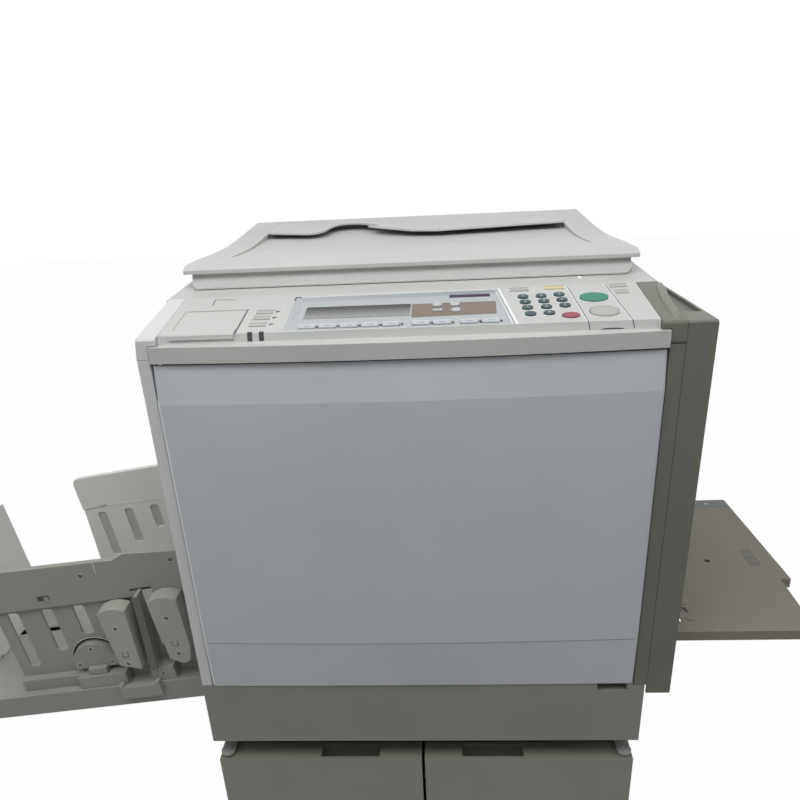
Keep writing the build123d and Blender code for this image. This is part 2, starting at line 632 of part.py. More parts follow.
def platen_shelf():
    """Rear plate over the pocket, its front edge waved and its right part raised in a soft step."""
    front = [Line((-252, 632), (-252, 524)), Line((-252, 524), (-184, 502)),
             Spline([(-184, 502), (-160, 510), (-142, 560), (-116, 584), (-62, 545), (-2, 480)],
                    tangents=[(0.95, -0.3), (0.8, -0.6)]),
             Line((-2, 480), (40, 470)), Line((40, 470), (252, 505)), Line((252, 505), (252, 632)),
             Line((252, 632), (-252, 632))]
    plan = extrude(Pos(0, 0, M + 610) * make_face(front), amount=40, dir=(0, 0, 1))
    low, high, thick = M + 627, M + 629.5, 3
    ends = (-165, -130)
    section = [Line((-260, low), (ends[0], low)),
               Spline([(ends[0], low), (-147, (low + high) / 2), (ends[1], high)], tangents=[(1, 0), (1, 0)]),
               Line((ends[1], high), (260, high)), Line((260, high), (260, high - thick)),
               Line((260, high - thick), (ends[1], high - thick)),
               Spline([(ends[1], high - thick), (-147, (low + high) / 2 - thick), (ends[0], low - thick)],
                      tangents=[(-1, 0), (-1, 0)]),
               Line((ends[0], low - thick), (-260, low - thick)), Line((-260, low - thick), (-260, low))]
    profile = Pos(0, 400, 0) * Rot(90, 0, 0) * make_face(section)
    plate = extrude(profile, amount=300, dir=(0, 1, 0)) & plan
    for x, top in ((-240, low), (-190, low), (60, high), (150, high), (240, high)):
        plate += block(x - 1.5, x + 1.5, 605, 628, POCKET_FLOOR + 0.1, top - thick + 0.5)
    return plate


def platen_hinges():
    """Two hinge blocks on the deck with their pins."""
    hinge_y, hinge_z = HINGE
    hinges = []
    for x in (-195, 195):
        piece = rod_x(x - 17, x + 17, hinge_y, hinge_z, 4)
        piece += block(x - 17, x + 17, 653, 680, DECK, DECK + 1.5)
        for x0, x1 in ((x - 17, x - 11), (x + 11, x + 17)):
            piece += rod_x(x0, x1, hinge_y, hinge_z, HINGE_R)
            piece += block(x0, x1, hinge_y - HINGE_R, hinge_y + HINGE_R, DECK, hinge_z)
        hinges.append(piece)
    return group(hinges)


# Printing works

def gear(teeth, x, z, phase_deg, bore):
    """A spur gear with straight-flanked teeth, its axis along Y."""
    pitch = MODULE * teeth / 2
    root, tip = pitch - 1.15 * MODULE, pitch + 0.9 * MODULE
    points = []
    step = 2 * math.pi / teeth
    for i in range(teeth):
        middle = i * step + math.radians(phase_deg)
        for radius, part in ((root, -0.29), (tip, -0.13), (tip, 0.13), (root, 0.29)):
            angle = middle + part * step
            points.append((x + radius * math.cos(angle), z + radius * math.sin(angle)))
    wheel = front_prism(points, GEAR_Y, GEAR_Y + GEAR_WIDTH)
    return wheel - rod_y(x, GEAR_Y - 1, GEAR_Y + GEAR_WIDTH + 1, z, bore)


def drum_flange():
    """Fixed front end of the drum unit: plate on the front frame plate, grip, and the drum's front stub."""
    flange = rod_y(DRUM_X, FRONT_PLATE_Y - 3, FRONT_PLATE_Y, DRUM_Z, DRUM_R + 13)
    flange += rod_y(DRUM_X, FRONT_PLATE_Y - 2, 78, DRUM_Z, 10)
    for x in (DRUM_X - 58, DRUM_X + 48):
        flange += block(x, x + 10, 30, FRONT_PLATE_Y - 2, DRUM_Z - 11, DRUM_Z + 11)
    return flange + block(DRUM_X - 58, DRUM_X + 58, 26.5, 32, DRUM_Z - 11, DRUM_Z + 11)


def print_drum():
    """Hollow drum with end discs; it turns on the front stub and, by its hub, in the rear frame plate."""
    drum = rod_y(DRUM_X, 62, 575, DRUM_Z, DRUM_R) - rod_y(DRUM_X, 66, 571, DRUM_Z, DRUM_R - 3)
    drum += rod_y(DRUM_X, 60, 82, DRUM_Z, 18)
    drum += rod_y(DRUM_X, 571, GEAR_Y + GEAR_WIDTH, DRUM_Z, HUB_R)
    drum -= rod_y(DRUM_X, 59, 83, DRUM_Z, 10 + RUNNING)
    return drum


def drum_gear():
    return gear(DRUM_TEETH, DRUM_X, DRUM_Z, 0, HUB_R)


def press_roller():
    roller = rod_y(DRUM_X, 68, 568, PRESS_Z, PRESS_R) + rod_y(DRUM_X, 42, GEAR_Y + GEAR_WIDTH, PRESS_Z, 8)
    return roller + gear(PRESS_TEETH, DRUM_X, PRESS_Z, 180 / PRESS_TEETH, 7.5)


def drive_gear():
    half_tooth = 180 / MOTOR_TEETH
    pinion = gear(MOTOR_TEETH, MOTOR_X, DRUM_Z, half_tooth, 3.5)
    return pinion + rod_y(MOTOR_X, GEAR_Y, 611, DRUM_Z, 4)


def drive_motor():
    """Motor on a bracket that stands off the rear frame plate."""
    back = REAR_PLATE_Y + PLATE
    motor = block(62, 147, 608.5, 611.5, DRUM_Z - 52, DRUM_Z + 52)
    for z0 in (DRUM_Z - 52, DRUM_Z + 46):
        motor += block(92, 147, back, 609, z0, z0 + 6)
    motor -= rod_y(MOTOR_X, 608, 611.4, DRUM_Z, 4 + RUNNING)
    return motor + rod_y(MOTOR_X, 611.5, 668, DRUM_Z, 34)


def feed_roller():
    x, z = FEED_ROLLER_X, FEED_ROLLER_Z
    roller = rod_y(x, 42, 590, z, 5)
    for y in (PAPER_Y - 40, PAPER_Y + 10):
        roller += rod_y(x, y, y + 30, z, FEED_ROLLER_R)
    return roller


def master_tray():
    """Open-topped tray with a front face and bearing holes for the master roll's core."""
    tray = block(102, 268, 52, 540, M + 442, M + 552) - block(105, 265, 55, 537, M + 445, M + 553)
    tray += block(99, 271, 40, 43.5, M + 440, M + 554) + block(150, 220, 30, 41, M + 490, M + 498)
    tray += block(102, 105, 43, 53, M + 442, M + 552) + block(265, 268, 43, 53, M + 442, M + 552)
    tray -= rod_y(ROLL_X, 51, 541, ROLL_Z, 8 + RUNNING)
    return tray


def master_roll():
    return rod_y(ROLL_X, 90, 500, ROLL_Z, 42) + rod_y(ROLL_X, 51, 541, ROLL_Z, 8)


def eject_box():
    """Box for used masters, with a pull on its front face."""
    box = block(-268, -131, 50, 540, M + 432, M + 552) - block(-265, -128, 53, 537, M + 435, M + 553)
    box += block(-270, -129, 40, 43.5, M + 430, M + 554) + block(-235, -165, 30, 41, M + 490, M + 498)
    box += block(-268, -265, 43, 51, M + 432, M + 552) + block(-265, -131, 43, 51, M + 432, M + 436)
    return box


# Paper feed

def feed_lift_plate():
    """Plate that carries the paper inside the machine, with two ears that hold the tray's pivot pins."""
    plate = block(112, 333, 60, 364, FEED_TOP - 3, FEED_TOP)
    plate += block(112, 330, 60, 64, FEED_TOP - 20, FEED_TOP - 2)
    plate += block(112, 330, 360, 364, FEED_TOP - 20, FEED_TOP - 2)
    x, z = FEED_PIVOT
    for y0, y1 in ((60, 64), (360, 364)):
        plate += block(320, x, y0, y1, z - 6, z + 6) + rod_y(x, y0, y1, z, 6)
        inside = (y0, y0 + 10) if y0 < PAPER_Y else (y1 - 10, y1)
        plate += rod_y(x, inside[0], inside[1], z, 3)
    for sign in (-1, 1):
        slot = sorted((PAPER_Y + sign * 40, PAPER_Y + sign * FEED_FENCE_OUT))
        plate -= block(FEED_KEY_X - 6, FEED_KEY_X + 6, *slot, FEED_TOP - 4, FEED_TOP + 1)
    return plate


def feed_tray():
    """Level tray outside the machine, hollow underneath, that folds up on the lift plate's pins."""
    x0, x1, y0, y1 = FEED_TRAY
    px, pz = FEED_PIVOT
    outline = [(x0, y0), (x1, y0), (x1, 150), (x1 + 15, 150), (x1 + 1, y1), (x0, y1)]
    tray = plan_prism(outline, FEED_TOP - 15, FEED_TOP)
    tray += block(x0, px + 12, 66, 358, FEED_TOP - 22, FEED_TOP - 10)
    tray -= block(x0 - 1, x1 - 3, y0 + 3, y1 - 3, FEED_TOP - 23, FEED_TOP - 3)
    for a, b in ((66, 70), (354, 358)):
        tray += block(x0, px + 9, a, b, FEED_TOP - 20, FEED_TOP - 2)
    tray -= rod_y(px, 50, 374, pz, 3 + RUNNING)
    tray += rod_z(443, 201, FEED_TOP - 10, FEED_TOP - 1, 6)
    tray -= rod_z(443, 201, FEED_TOP - 8, FEED_TOP + 1, 4)
    tray -= block(x0 - 1, 362, 56, 66, FEED_TOP - 23, FEED_TOP + 1)
    tray -= block(x0 - 1, 362, 358, 368, FEED_TOP - 23, FEED_TOP + 1)
    return tray


def feed_fence(sign):
    """Side fence on the lift plate, seen from the paper's middle; its key runs in the plate's cross slot."""
    inner = PAPER_Y + sign * 135
    outer = PAPER_Y + sign * (FEED_FENCE_OUT - 2)
    fence = block(196, 326, *sorted((inner, inner + sign * 2.5)), FEED_TOP + 0.5, FEED_TOP + 55)
    fence += block(196, 326, *sorted((inner, outer)), FEED_TOP + 0.5, FEED_TOP + 3)
    near, far = sorted((inner, outer))
    return fence + block(FEED_KEY_X - 5.5, FEED_KEY_X + 5.5, near, far, FEED_TOP - 5, FEED_TOP + 1)


# Paper delivery, drawn flat in the table's own frame

def delivery_table():
    """Hollow table with a raised rim, cross slots for the fence keys and one long slot for the end plate."""
    y0, y1 = TABLE_EDGES
    table = block(-TABLE_LENGTH, -6, y0, y1, -36, 0)
    table -= block(-TABLE_LENGTH + 3, -9, y0 + 3, y1 - 3, -33, -3)
    for x in FENCE_KEYS:
        table -= block(x - 6, x + 6, 70, 190, -4, 1)
        table -= block(x - 6, x + 6, 234, 354, -4, 1)
    table -= block(-480, -290, PAPER_Y - 6, PAPER_Y + 6, -4, 1)
    for y in (90, 330):
        table += block(-26, 4, y, y + 8, -20, -3)
    x0, x1 = TABLE_GRIP
    table += block(x0, x1, y0 - 8, y0 + 1, -19, 2)
    for x in (x0, x1 - 7):
        table += block(x, x + 7, y0 - 8, y0 + 1, -19, 7)
    return TABLE * table


def fence_slot(x, y, z0, z1, wide, through):
    """A round-cornered slot in a fence, from its middle plane y towards both sides."""
    slot = Pos(x, y, (z0 + z1) / 2) * Rot(90, 0, 0) * RectangleRounded(wide, z1 - z0, 5)
    return extrude(slot, amount=through, dir=(0, 1, 0), both=True)


def near_fence():
    """Upper plate with a step in its top edge, recessed slotted panel, foot and the keys in the table."""
    out = PAPER_Y - FENCE_OUT
    fold = 140
    top = [(-302, fold), (-2, fold), (-2, 205), (-76, 211), (-94, 203), (-302, 208)]
    fence = front_prism(top, out, out + 9)
    fence += block(-302, -2, out + 5, out + 9, 8, fold + 2)
    for x, z0, z1 in ((-276, 36, 134), (-223, 59, 134), (-174, 83, 134)):
        fence -= fence_slot(x, out + 7, z0, z1, 18, 10)
    fence -= block(-74, -54, out - 1, out + 10, 48, 150)
    fence += block(-300, -207, out - 7, out + 26, 0.6, 19)
    fence += block(-207, -4, out + 3, out + 26, 0.6, 9)
    fence += block(-206, -131, out - 16, out + 4, 0.6, 20)
    fence += block(-92, -56, out - 16, out + 4, 0.6, 23)
    for x in FENCE_KEYS:
        fence += block(x - 5.5, x + 5.5, out + 8, out + 22, -3.5, 1)
    fence += front_prism([(-86, 24), (-81, 24), (-68, 152), (-73, 152)], out - 20, out + 1)
    return fence


def far_fence():
    """The far fence: the same parts with its own outline, and slots that are sunk from the paper's side."""
    out = PAPER_Y + FENCE_OUT
    fold = 147
    top = [(-286, fold), (-2, fold), (-2, 213), (-130, 212), (-275, 209.5), (-283, 206.5), (-286, 199)]
    fence = front_prism(top, out - 9, out)
    fence += front_prism([(-292, 8), (-2, 8), (-2, fold + 2), (-284, fold + 2)], out - 9, out - 5)
    for x, z0 in ((-254, 49), (-204, 69), (-156, 94), (-80, 62)):
        fence -= fence_slot(x, out - 9, z0, 139, 16, 2.8)
    fence -= front_prism([(-290, 146), (-240, 149), (-240, 153), (-290, 147)], out - 10, out - 4)
    fence += block(-290, -4, out - 26, out - 3, 0.6, 9)
    for x in FENCE_KEYS:
        fence += block(x - 5.5, x + 5.5, out - 22, out - 8, -3.5, 1)
    return fence


def to_far_side(shape):
    """The near fence's shape mirrored about the paper's middle."""
    return mirror(shape, Plane((0, PAPER_Y, 0), x_dir=(1, 0, 0), z_dir=(0, 1, 0)))


def lever(corners, bottom):
    """A lever cover on the near fence's outer face: arched top, sides that taper down, and a boss."""
    out = PAPER_Y - FENCE_OUT
    (x0, z0), (x1, z1), (x2, z2) = corners
    outline = [ThreePointArc((x0, out - 25, z0), (x1, out - 25, z1), (x2, out - 25, z2)),
               Polyline((x2, out - 25, z2), *[(x, out - 25, z) for x, z in bottom], (x0, out - 25, z0))]
    cover = extrude(make_face(outline), amount=24.5, dir=(0, 1, 0))
    return cover + rod_y((x0 + x2) / 2, out - 1, out + 4.9, 100, 9)


def wings():
    """The two lever covers side by side."""
    return [lever(((-132, 134), (-111, 140), (-90, 134)), ((-97, 31), (-128, 42))),
            lever(((-53, 143), (-33, 149), (-12, 142)), ((-15, 62), (-21, 38), (-32, 32), (-51, 44)))]


def fence_front():
    return TABLE * near_fence()


def fence_rear():
    return TABLE * far_fence()


def wings_front():
    return TABLE * group(wings())


def wings_rear():
    return TABLE * to_far_side(group(wings()))


def gear_cover():
    """Half-round cover on the near fence's outer face, with a small box under it."""
    out = PAPER_Y - FENCE_OUT
    x, z = GEAR_COVER
    cover = rod_y(x, out - 5, out + 4.7, z, 34.5) - block(x - 40, x + 40, out - 6, out + 6, z - 40, z - 8)
    return cover + block(x - 13, x + 15, out - 12, out + 4.7, z - 15.5, z - 5)


def fence_gear_cover_front():
    return TABLE * gear_cover()


def fence_gear_cover_rear():
    return TABLE * to_far_side(gear_cover())


def end_plate():
    """Stop for the far end of the sheets, with a foot whose key runs in the table's long slot."""
    x = END_PLATE_X
    plate = block(x - 5, x, PAPER_Y - 88, PAPER_Y + 88, 6, 206)
    plate += block(x - 40, x, PAPER_Y - 60, PAPER_Y + 60, 0.6, 8)
    plate += block(x - 30, x - 5, PAPER_Y - 5.5, PAPER_Y + 5.5, -3.5, 1)
    return TABLE * plate


NODES = {
    "cabinet_body": cabinet_body,
    "cabinet_shelf": cabinet_shelf,
    "cabinet_door_left": lambda: cabinet_door(-1),
    "cabinet_door_right": lambda: cabinet_door(1),
    "cabinet_hinges": cabinet_hinges,
    "levelling_feet": levelling_feet,
    "base_frame": base_frame,
    "front_frame_plate": front_frame_plate,
    "rear_frame_plate": rear_frame_plate,
    "tie_bars": tie_bars,
    "lower_front_cover": lower_front_cover,
    "left_side_cover": left_side_cover,
    "right_side_cover": right_side_cover,
    "left_top_cover": left_top_cover,
    "right_top_cover": right_top_cover,
    "feed_side_cover": feed_side_cover,
    "rear_cover": rear_cover,
    "power_inlet": power_inlet,
    "front_door": front_door,
    "door_hinge_pins": door_hinge_pins,
    "panel_housing": panel_housing,
    "display_bezel": display_bezel,
    "display_window": display_window,
    "soft_keys": soft_keys,
    "panel_flap": panel_flap,
    "number_keys": number_keys,
    "function_keys": function_keys,
    "program_key": program_key,
    "clear_key": clear_key,
    "start_key": start_key,
    "proof_key": proof_key,
    "scanner_housing": scanner_housing,
    "exposure_glass": exposure_glass,
    "scan_carriage": scan_carriage,
    "platen_cover": platen_cover,
    "platen_pad": platen_pad,
    "platen_shelf": platen_shelf,
    "platen_hinges": platen_hinges,
    "drum_flange": drum_flange,
    "print_drum": print_drum,
    "drum_gear": drum_gear,
    "press_roller": press_roller,
    "drive_gear": drive_gear,
    "drive_motor": drive_motor,
    "feed_roller": feed_roller,
    "master_tray": master_tray,
    "master_roll": master_roll,
    "eject_box": eject_box,
    "feed_lift_plate": feed_lift_plate,
    "feed_tray": feed_tray,
    "feed_fence_front": lambda: feed_fence(-1),
    "feed_fence_rear": lambda: feed_fence(1),
    "delivery_table": delivery_table,
    "fence_front": fence_front,
    "fence_rear": fence_rear,
    "wings_front": wings_front,
    "wings_rear": wings_rear,
    "fence_gear_cover_front": fence_gear_cover_front,
    "fence_gear_cover_rear": fence_gear_cover_rear,
    "end_plate": end_plate,
}

os.makedirs("parts", exist_ok=True)
for name, build in NODES.items():
    shape = build().moved(Location(SHIFT))
    export_step(shape, f"parts/{name}.step")
    print(name, len(shape.solids()), round(shape.volume))
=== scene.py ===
import json
import math

import bmesh
import bpy
from mathutils import Euler, Matrix, Vector


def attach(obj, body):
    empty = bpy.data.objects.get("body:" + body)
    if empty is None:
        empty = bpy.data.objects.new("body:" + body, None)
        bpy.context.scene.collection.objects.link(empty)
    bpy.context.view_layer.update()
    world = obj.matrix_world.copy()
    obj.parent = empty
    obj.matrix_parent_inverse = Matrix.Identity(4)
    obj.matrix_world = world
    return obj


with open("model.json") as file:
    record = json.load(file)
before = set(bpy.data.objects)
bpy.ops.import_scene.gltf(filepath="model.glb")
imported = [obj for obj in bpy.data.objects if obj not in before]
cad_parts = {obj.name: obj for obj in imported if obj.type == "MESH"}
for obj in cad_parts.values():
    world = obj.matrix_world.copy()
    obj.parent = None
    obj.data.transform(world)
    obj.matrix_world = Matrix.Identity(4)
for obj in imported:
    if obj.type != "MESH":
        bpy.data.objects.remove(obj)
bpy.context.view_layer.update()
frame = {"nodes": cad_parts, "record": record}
NODES = frame["nodes"]

MM = 0.001
SHIFT = Vector((0.1254, -0.3375, 0.0))     # from the machine's coordinates to the frame
MACHINE = 0.430                          # height of the machine's underside, in metres


def at(x, y, z):
    """A point of the machine in mm, its height from the machine's underside, as frame metres."""
    return Vector((x * MM, y * MM, z * MM + MACHINE)) + SHIFT


# Materials

def new_material(name):
    material = bpy.data.materials.new(name)
    material.use_nodes = True
    return material, material.node_tree.nodes, material.node_tree.links


def object_coordinates(nodes, links, scale):
    coordinates = nodes.new("ShaderNodeTexCoord")
    mapping = nodes.new("ShaderNodeMapping")
    even = isinstance(scale, (int, float))
    mapping.inputs["Scale"].default_value = (scale, scale, scale) if even else scale
    links.new(coordinates.outputs["Object"], mapping.inputs["Vector"])
    return mapping.outputs["Vector"]


def noise(nodes, links, scale, detail=3.0, rough=0.55, stretch=1.0):
    texture = nodes.new("ShaderNodeTexNoise")
    texture.inputs["Scale"].default_value = scale
    texture.inputs["Detail"].default_value = detail
    texture.inputs["Roughness"].default_value = rough
    links.new(object_coordinates(nodes, links, stretch), texture.inputs["Vector"])
    return texture.outputs["Fac"]


def spread(nodes, links, value, low, high):
    """Maps the middle of a noise to a range."""
    ranger = nodes.new("ShaderNodeMapRange")
    ranger.inputs["From Min"].default_value = 0.3
    ranger.inputs["From Max"].default_value = 0.7
    ranger.inputs["To Min"].default_value = low
    ranger.inputs["To Max"].default_value = high
    links.new(value, ranger.inputs["Value"])
    return ranger.outputs["Result"]


def mixed(nodes, links, factor, first, second):
    """A colour between two colours."""
    mix = nodes.new("ShaderNodeMix")
    mix.data_type = "RGBA"
    mix.inputs["A"].default_value = (*first, 1.0)
    mix.inputs["B"].default_value = (*second, 1.0)
    links.new(factor, mix.inputs["Factor"])
    return mix.outputs["Result"]


RELIEF = 0.0002                          # depth of the moulded and rolled surfaces, in metres


def relief(nodes, links, shader, height, strength, depth=RELIEF):
    """Lets a texture raise the surface a little."""
    bump = nodes.new("ShaderNodeBump")
    bump.inputs["Strength"].default_value = strength
    bump.inputs["Distance"].default_value = depth
    links.new(height, bump.inputs["Height"])
    links.new(bump.outputs["Normal"], shader.inputs["Normal"])


def plastic(name, color, rough=0.45, grain=0.25, grain_scale=1500.0, tone=0.03, gloss=0.5):
    """Moulded plastic: fine grain, slow tone changes and patches of more or less gloss."""
    material, nodes, links = new_material(name)
    shader = nodes["Principled BSDF"]
    patches = noise(nodes, links, 6.0, 2.0)
    darker = tuple(c * (1 - tone) for c in color)
    lighter = tuple(min(1.0, c * (1 + tone)) for c in color)
    links.new(mixed(nodes, links, spread(nodes, links, patches, 0.0, 1.0), darker, lighter),
              shader.inputs["Base Color"])
    smears = noise(nodes, links, 22.0, 4.0)
    links.new(spread(nodes, links, smears, rough - 0.05, rough + 0.07), shader.inputs["Roughness"])
    shader.inputs["Specular IOR Level"].default_value = gloss
    relief(nodes, links, shader, noise(nodes, links, grain_scale, 2.0), grain)
    return material


def metal(name, color, rough=0.35, streak=(1.0, 60.0, 60.0), streak_relief=0.15):
    """Bare or plated metal with fine streaks along X."""
    material, nodes, links = new_material(name)
    shader = nodes["Principled BSDF"]
    shader.inputs["Metallic"].default_value = 1.0
    patches = noise(nodes, links, 9.0, 3.0)
    darker = tuple(c * 0.9 for c in color)
    links.new(mixed(nodes, links, spread(nodes, links, patches, 0.0, 1.0), darker, color),
              shader.inputs["Base Color"])
    lines = noise(nodes, links, 30.0, 4.0, stretch=streak)
    links.new(spread(nodes, links, lines, rough - 0.08, rough + 0.1), shader.inputs["Roughness"])
    relief(nodes, links, shader, lines, streak_relief)
    return material


def painted(name, color, rough=0.42):
    """Powder-coated sheet: orange-peel bump and faint tone changes."""
    return plastic(name, color, rough, grain=0.12, grain_scale=420.0, tone=0.025)


def glass(name, color):
    material, nodes, links = new_material(name)
    shader = nodes["Principled BSDF"]
    shader.inputs["Base Color"].default_value = (*color, 1.0)
    shader.inputs["Transmission Weight"].default_value = 0.9
    shader.inputs["IOR"].default_value = 1.45
    smears = noise(nodes, links, 14.0, 4.0)
    links.new(spread(nodes, links, smears, 0.02, 0.08), shader.inputs["Roughness"])
    return material


def drum_screen(name, color):
    """Woven metal screen: a fine grid of bumps over grey metal."""
    material, nodes, links = new_material(name)
    shader = nodes["Principled BSDF"]
    shader.inputs["Metallic"].default_value = 0.7
    shader.inputs["Roughness"].default_value = 0.5
    cells = nodes.new("ShaderNodeTexVoronoi")
    cells.inputs["Scale"].default_value = 700.0
    links.new(object_coordinates(nodes, links, 1.0), cells.inputs["Vector"])
    darker = tuple(c * 0.5 for c in color)
    links.new(mixed(nodes, links, cells.outputs["Distance"], color, darker), shader.inputs["Base Color"])
    relief(nodes, links, shader, cells.outputs["Distance"], 0.4, 0.0003)
    return material


def display_glass(name):
    """Liquid crystal display under a clear cover, with a painted shadow of the recess's rear wall: dark at
    its far edge and lighter towards the near one.
    """
    material, nodes, links = new_material(name)
    shader = nodes["Principled BSDF"]
    split = nodes.new("ShaderNodeSeparateXYZ")
    links.new(object_coordinates(nodes, links, 1.0), split.inputs["Vector"])
    ranger = nodes.new("ShaderNodeMapRange")
    ranger.inputs["From Min"].default_value = at(0, 55, 0).y
    ranger.inputs["From Max"].default_value = at(0, 82, 0).y
    links.new(split.outputs["Y"], ranger.inputs["Value"])
    # painted shadow: the ramp darkens the display from its near edge to its far one
    links.new(mixed(nodes, links, ranger.outputs["Result"], (0.29, 0.30, 0.29), (0.012, 0.013, 0.012)),
              shader.inputs["Base Color"])
    smears = noise(nodes, links, 20.0, 3.0)
    links.new(spread(nodes, links, smears, 0.18, 0.3), shader.inputs["Roughness"])
    shader.inputs["Specular IOR Level"].default_value = 0.3
    return material


MATERIALS = {
    "cover": plastic("cover_plastic", (0.555, 0.56, 0.54)),
    "cover_light": plastic("side_plastic", (0.69, 0.70, 0.69)),
    # the lower front cover: the covers' plastic made darker as painted shade, where the light falls off
    # towards the floor
    "cover_low": plastic("low_plastic_shaded", (0.275, 0.28, 0.255), gloss=0.3),
    "cover_dark": plastic("feed_side_plastic", (0.182, 0.182, 0.155), gloss=0.2),
    "door": plastic("door_plastic", (0.58, 0.605, 0.63)),
    "platen": plastic("platen_plastic", (0.57, 0.57, 0.555), grain=0.3),
    "shelf_plate": plastic("shelf_plastic", (0.57, 0.57, 0.58), grain=0.3),
    # partly the cabinet's own grey and partly painted shade: darker where the light falls off near the floor
    "cabinet_paint": painted("cabinet_paint", (0.235, 0.245, 0.20)),
    "zinc_steel": metal("zinc_sheet", (0.42, 0.42, 0.43), rough=0.42),
    "steel": metal("turned_steel", (0.55, 0.55, 0.56), rough=0.3),
    "foot_rubber": plastic("foot_rubber", (0.035, 0.035, 0.036), rough=0.7, grain=0.5, grain_scale=900.0),
    "roller_rubber": plastic("roller_rubber", (0.06, 0.06, 0.065), rough=0.62, grain=0.4, grain_scale=1200.0),
    "drum_screen": drum_screen("drum_screen", (0.30, 0.31, 0.33)),
    "gear_plastic": plastic("gear_plastic", (0.78, 0.77, 0.71), rough=0.38, grain=0.1),
    "inner_plastic": plastic("inner_plastic", (0.13, 0.14, 0.16)),
    "tray_green": plastic("tray_green", (0.30, 0.38, 0.33)),
    "paper_roll": plastic("paper_roll", (0.80, 0.79, 0.74), rough=0.6, grain=0.3, grain_scale=600.0),
    "motor_metal": painted("motor_paint", (0.06, 0.06, 0.065)),
    "inlet_black": plastic("inlet_plastic", (0.02, 0.02, 0.021), rough=0.4),
    "display_frame": plastic("display_frame", (0.45, 0.48, 0.49)),
    "display_glass": display_glass("display_cover_shaded"),
    "key_white": plastic("soft_keys", (0.50, 0.54, 0.56), rough=0.35, grain=0.1),
    "key_number": plastic("number_keys", (0.06, 0.10, 0.105), rough=0.5, grain=0.1, gloss=0.2),
    "key_yellow": plastic("yellow_key", (0.66, 0.55, 0.28), rough=0.35, grain=0.1),
    "key_red": plastic("red_key", (0.32, 0.08, 0.11), rough=0.5, grain=0.1, gloss=0.2),
    "key_green": plastic("green_key", (0.055, 0.24, 0.175), rough=0.5, grain=0.1, gloss=0.2),
    "scan_glass": glass("scan_glass", (0.80, 0.86, 0.86)),
    "scanner_black": plastic("scanner_black", (0.02, 0.02, 0.02), rough=0.6),
    "pad_white": plastic("pad_white", (0.80, 0.80, 0.78), rough=0.55, grain=0.4, grain_scale=500.0),
    "tray": plastic("tray_plastic", (0.245, 0.232, 0.192), gloss=0.25),
    "delivery": plastic("delivery_plastic", (0.345, 0.34, 0.31), gloss=0.3),
    "lever": plastic("lever_plastic", (0.43, 0.425, 0.385), gloss=0.3),
    # the end stop's light plastic, made lighter still as painted light on its face towards the machine
    "stop": plastic("stop_plastic_lit", (0.92, 0.92, 0.90)),
    # the far fence: a lighter copy of the delivery plastic, as painted light on its lit face
    "delivery_far": plastic("far_fence_plastic_lit", (0.84, 0.84, 0.80)),
    "cabinet_board": painted("cabinet_board", (0.34, 0.345, 0.325), rough=0.5),
    # dark for print, joints and lamps, and painted shade in gaps, notches, holes, screw dishes, grips and
    # vents
    "dark_marks_and_shade": plastic("dark_marks_and_shade", (0.035, 0.035, 0.038), rough=0.6, grain=0.1),
    "rim_light": plastic("rim_light", (0.72, 0.72, 0.69), rough=0.4, grain=0.1),
    # white for rims and outlines, and painted highlights on edges and walls and a painted glint
    "white_rims_and_highlights": plastic("white_rims_and_highlights", (0.92, 0.93, 0.93), rough=0.35, grain=0.1),
    "mark_light": plastic("mark_light", (0.80, 0.86, 0.88), rough=0.5, grain=0.1),
    "mark_grey": plastic("mark_grey", (0.22, 0.23, 0.24), rough=0.5, grain=0.1),
    "field_taupe": plastic("field_taupe", (0.21, 0.17, 0.135), rough=0.4, grain=0.05, gloss=0.2),
    "field_purple": plastic("field_purple", (0.05, 0.03, 0.07), rough=0.4, grain=0.05, gloss=0.2),
    "pad_brown": plastic("tray_pad", (0.17, 0.165, 0.15), rough=0.55),
    "strip_grey": plastic("tray_strip", (0.16, 0.18, 0.175), rough=0.5),
    "rib_plastic": plastic("rib_plastic", (0.20, 0.198, 0.17)),
    "seam_grey": plastic("seam_grey", (0.20, 0.21, 0.215), rough=0.5, grain=0.1),
    # painted shade for the shaded side of the wall between the levers
    "plate_shade": plastic("plate_shade", (0.10, 0.10, 0.09)),
    # darker than the far fence's plastic as painted shade in its slots
    "slot_floor_shade": plastic("slot_floor_shade", (0.54, 0.54, 0.50)),
    "key_grey": plastic("flat_keys", (0.42, 0.435, 0.41), rough=0.4, grain=0.1),
    "screw_steel": metal("screw_steel", (0.11, 0.11, 0.115), rough=0.35),
}


# Nodes with finer or rounder edges, nodes with a shallow crease to keep (in degrees), and nodes whose colour
# isn't that of their slot; of these, fence_rear takes a lighter copy as painted light and lower_front_cover a
# darker copy as painted shade

FINE = ("soft_keys", "function_keys", "program_key", "display_window", "display_bezel", "panel_flap",
        "drum_gear", "drive_gear", "press_roller")
DOMED = ("number_keys", "start_key", "clear_key", "proof_key")
CREASED = {"front_door": 2.5, "panel_housing": 9.0, "left_top_cover": 5.0, "right_top_cover": 5.0,
           "feed_side_cover": 2.0, "lower_front_cover": 5.0, "platen_shelf": 30.0}
SHADES = {"fence_rear": "delivery_far", "wings_front": "lever", "left_side_cover": "cover_light",
          "left_top_cover": "cover_light", "lower_front_cover": "cover_low",
          "cabinet_hinges": "cabinet_board"}
SHARP = 35.0                             # angle in degrees from which any other edge is rounded
EDGE, FINE_EDGE = 0.0010, 0.0003         # width of the rounded edges, in metres


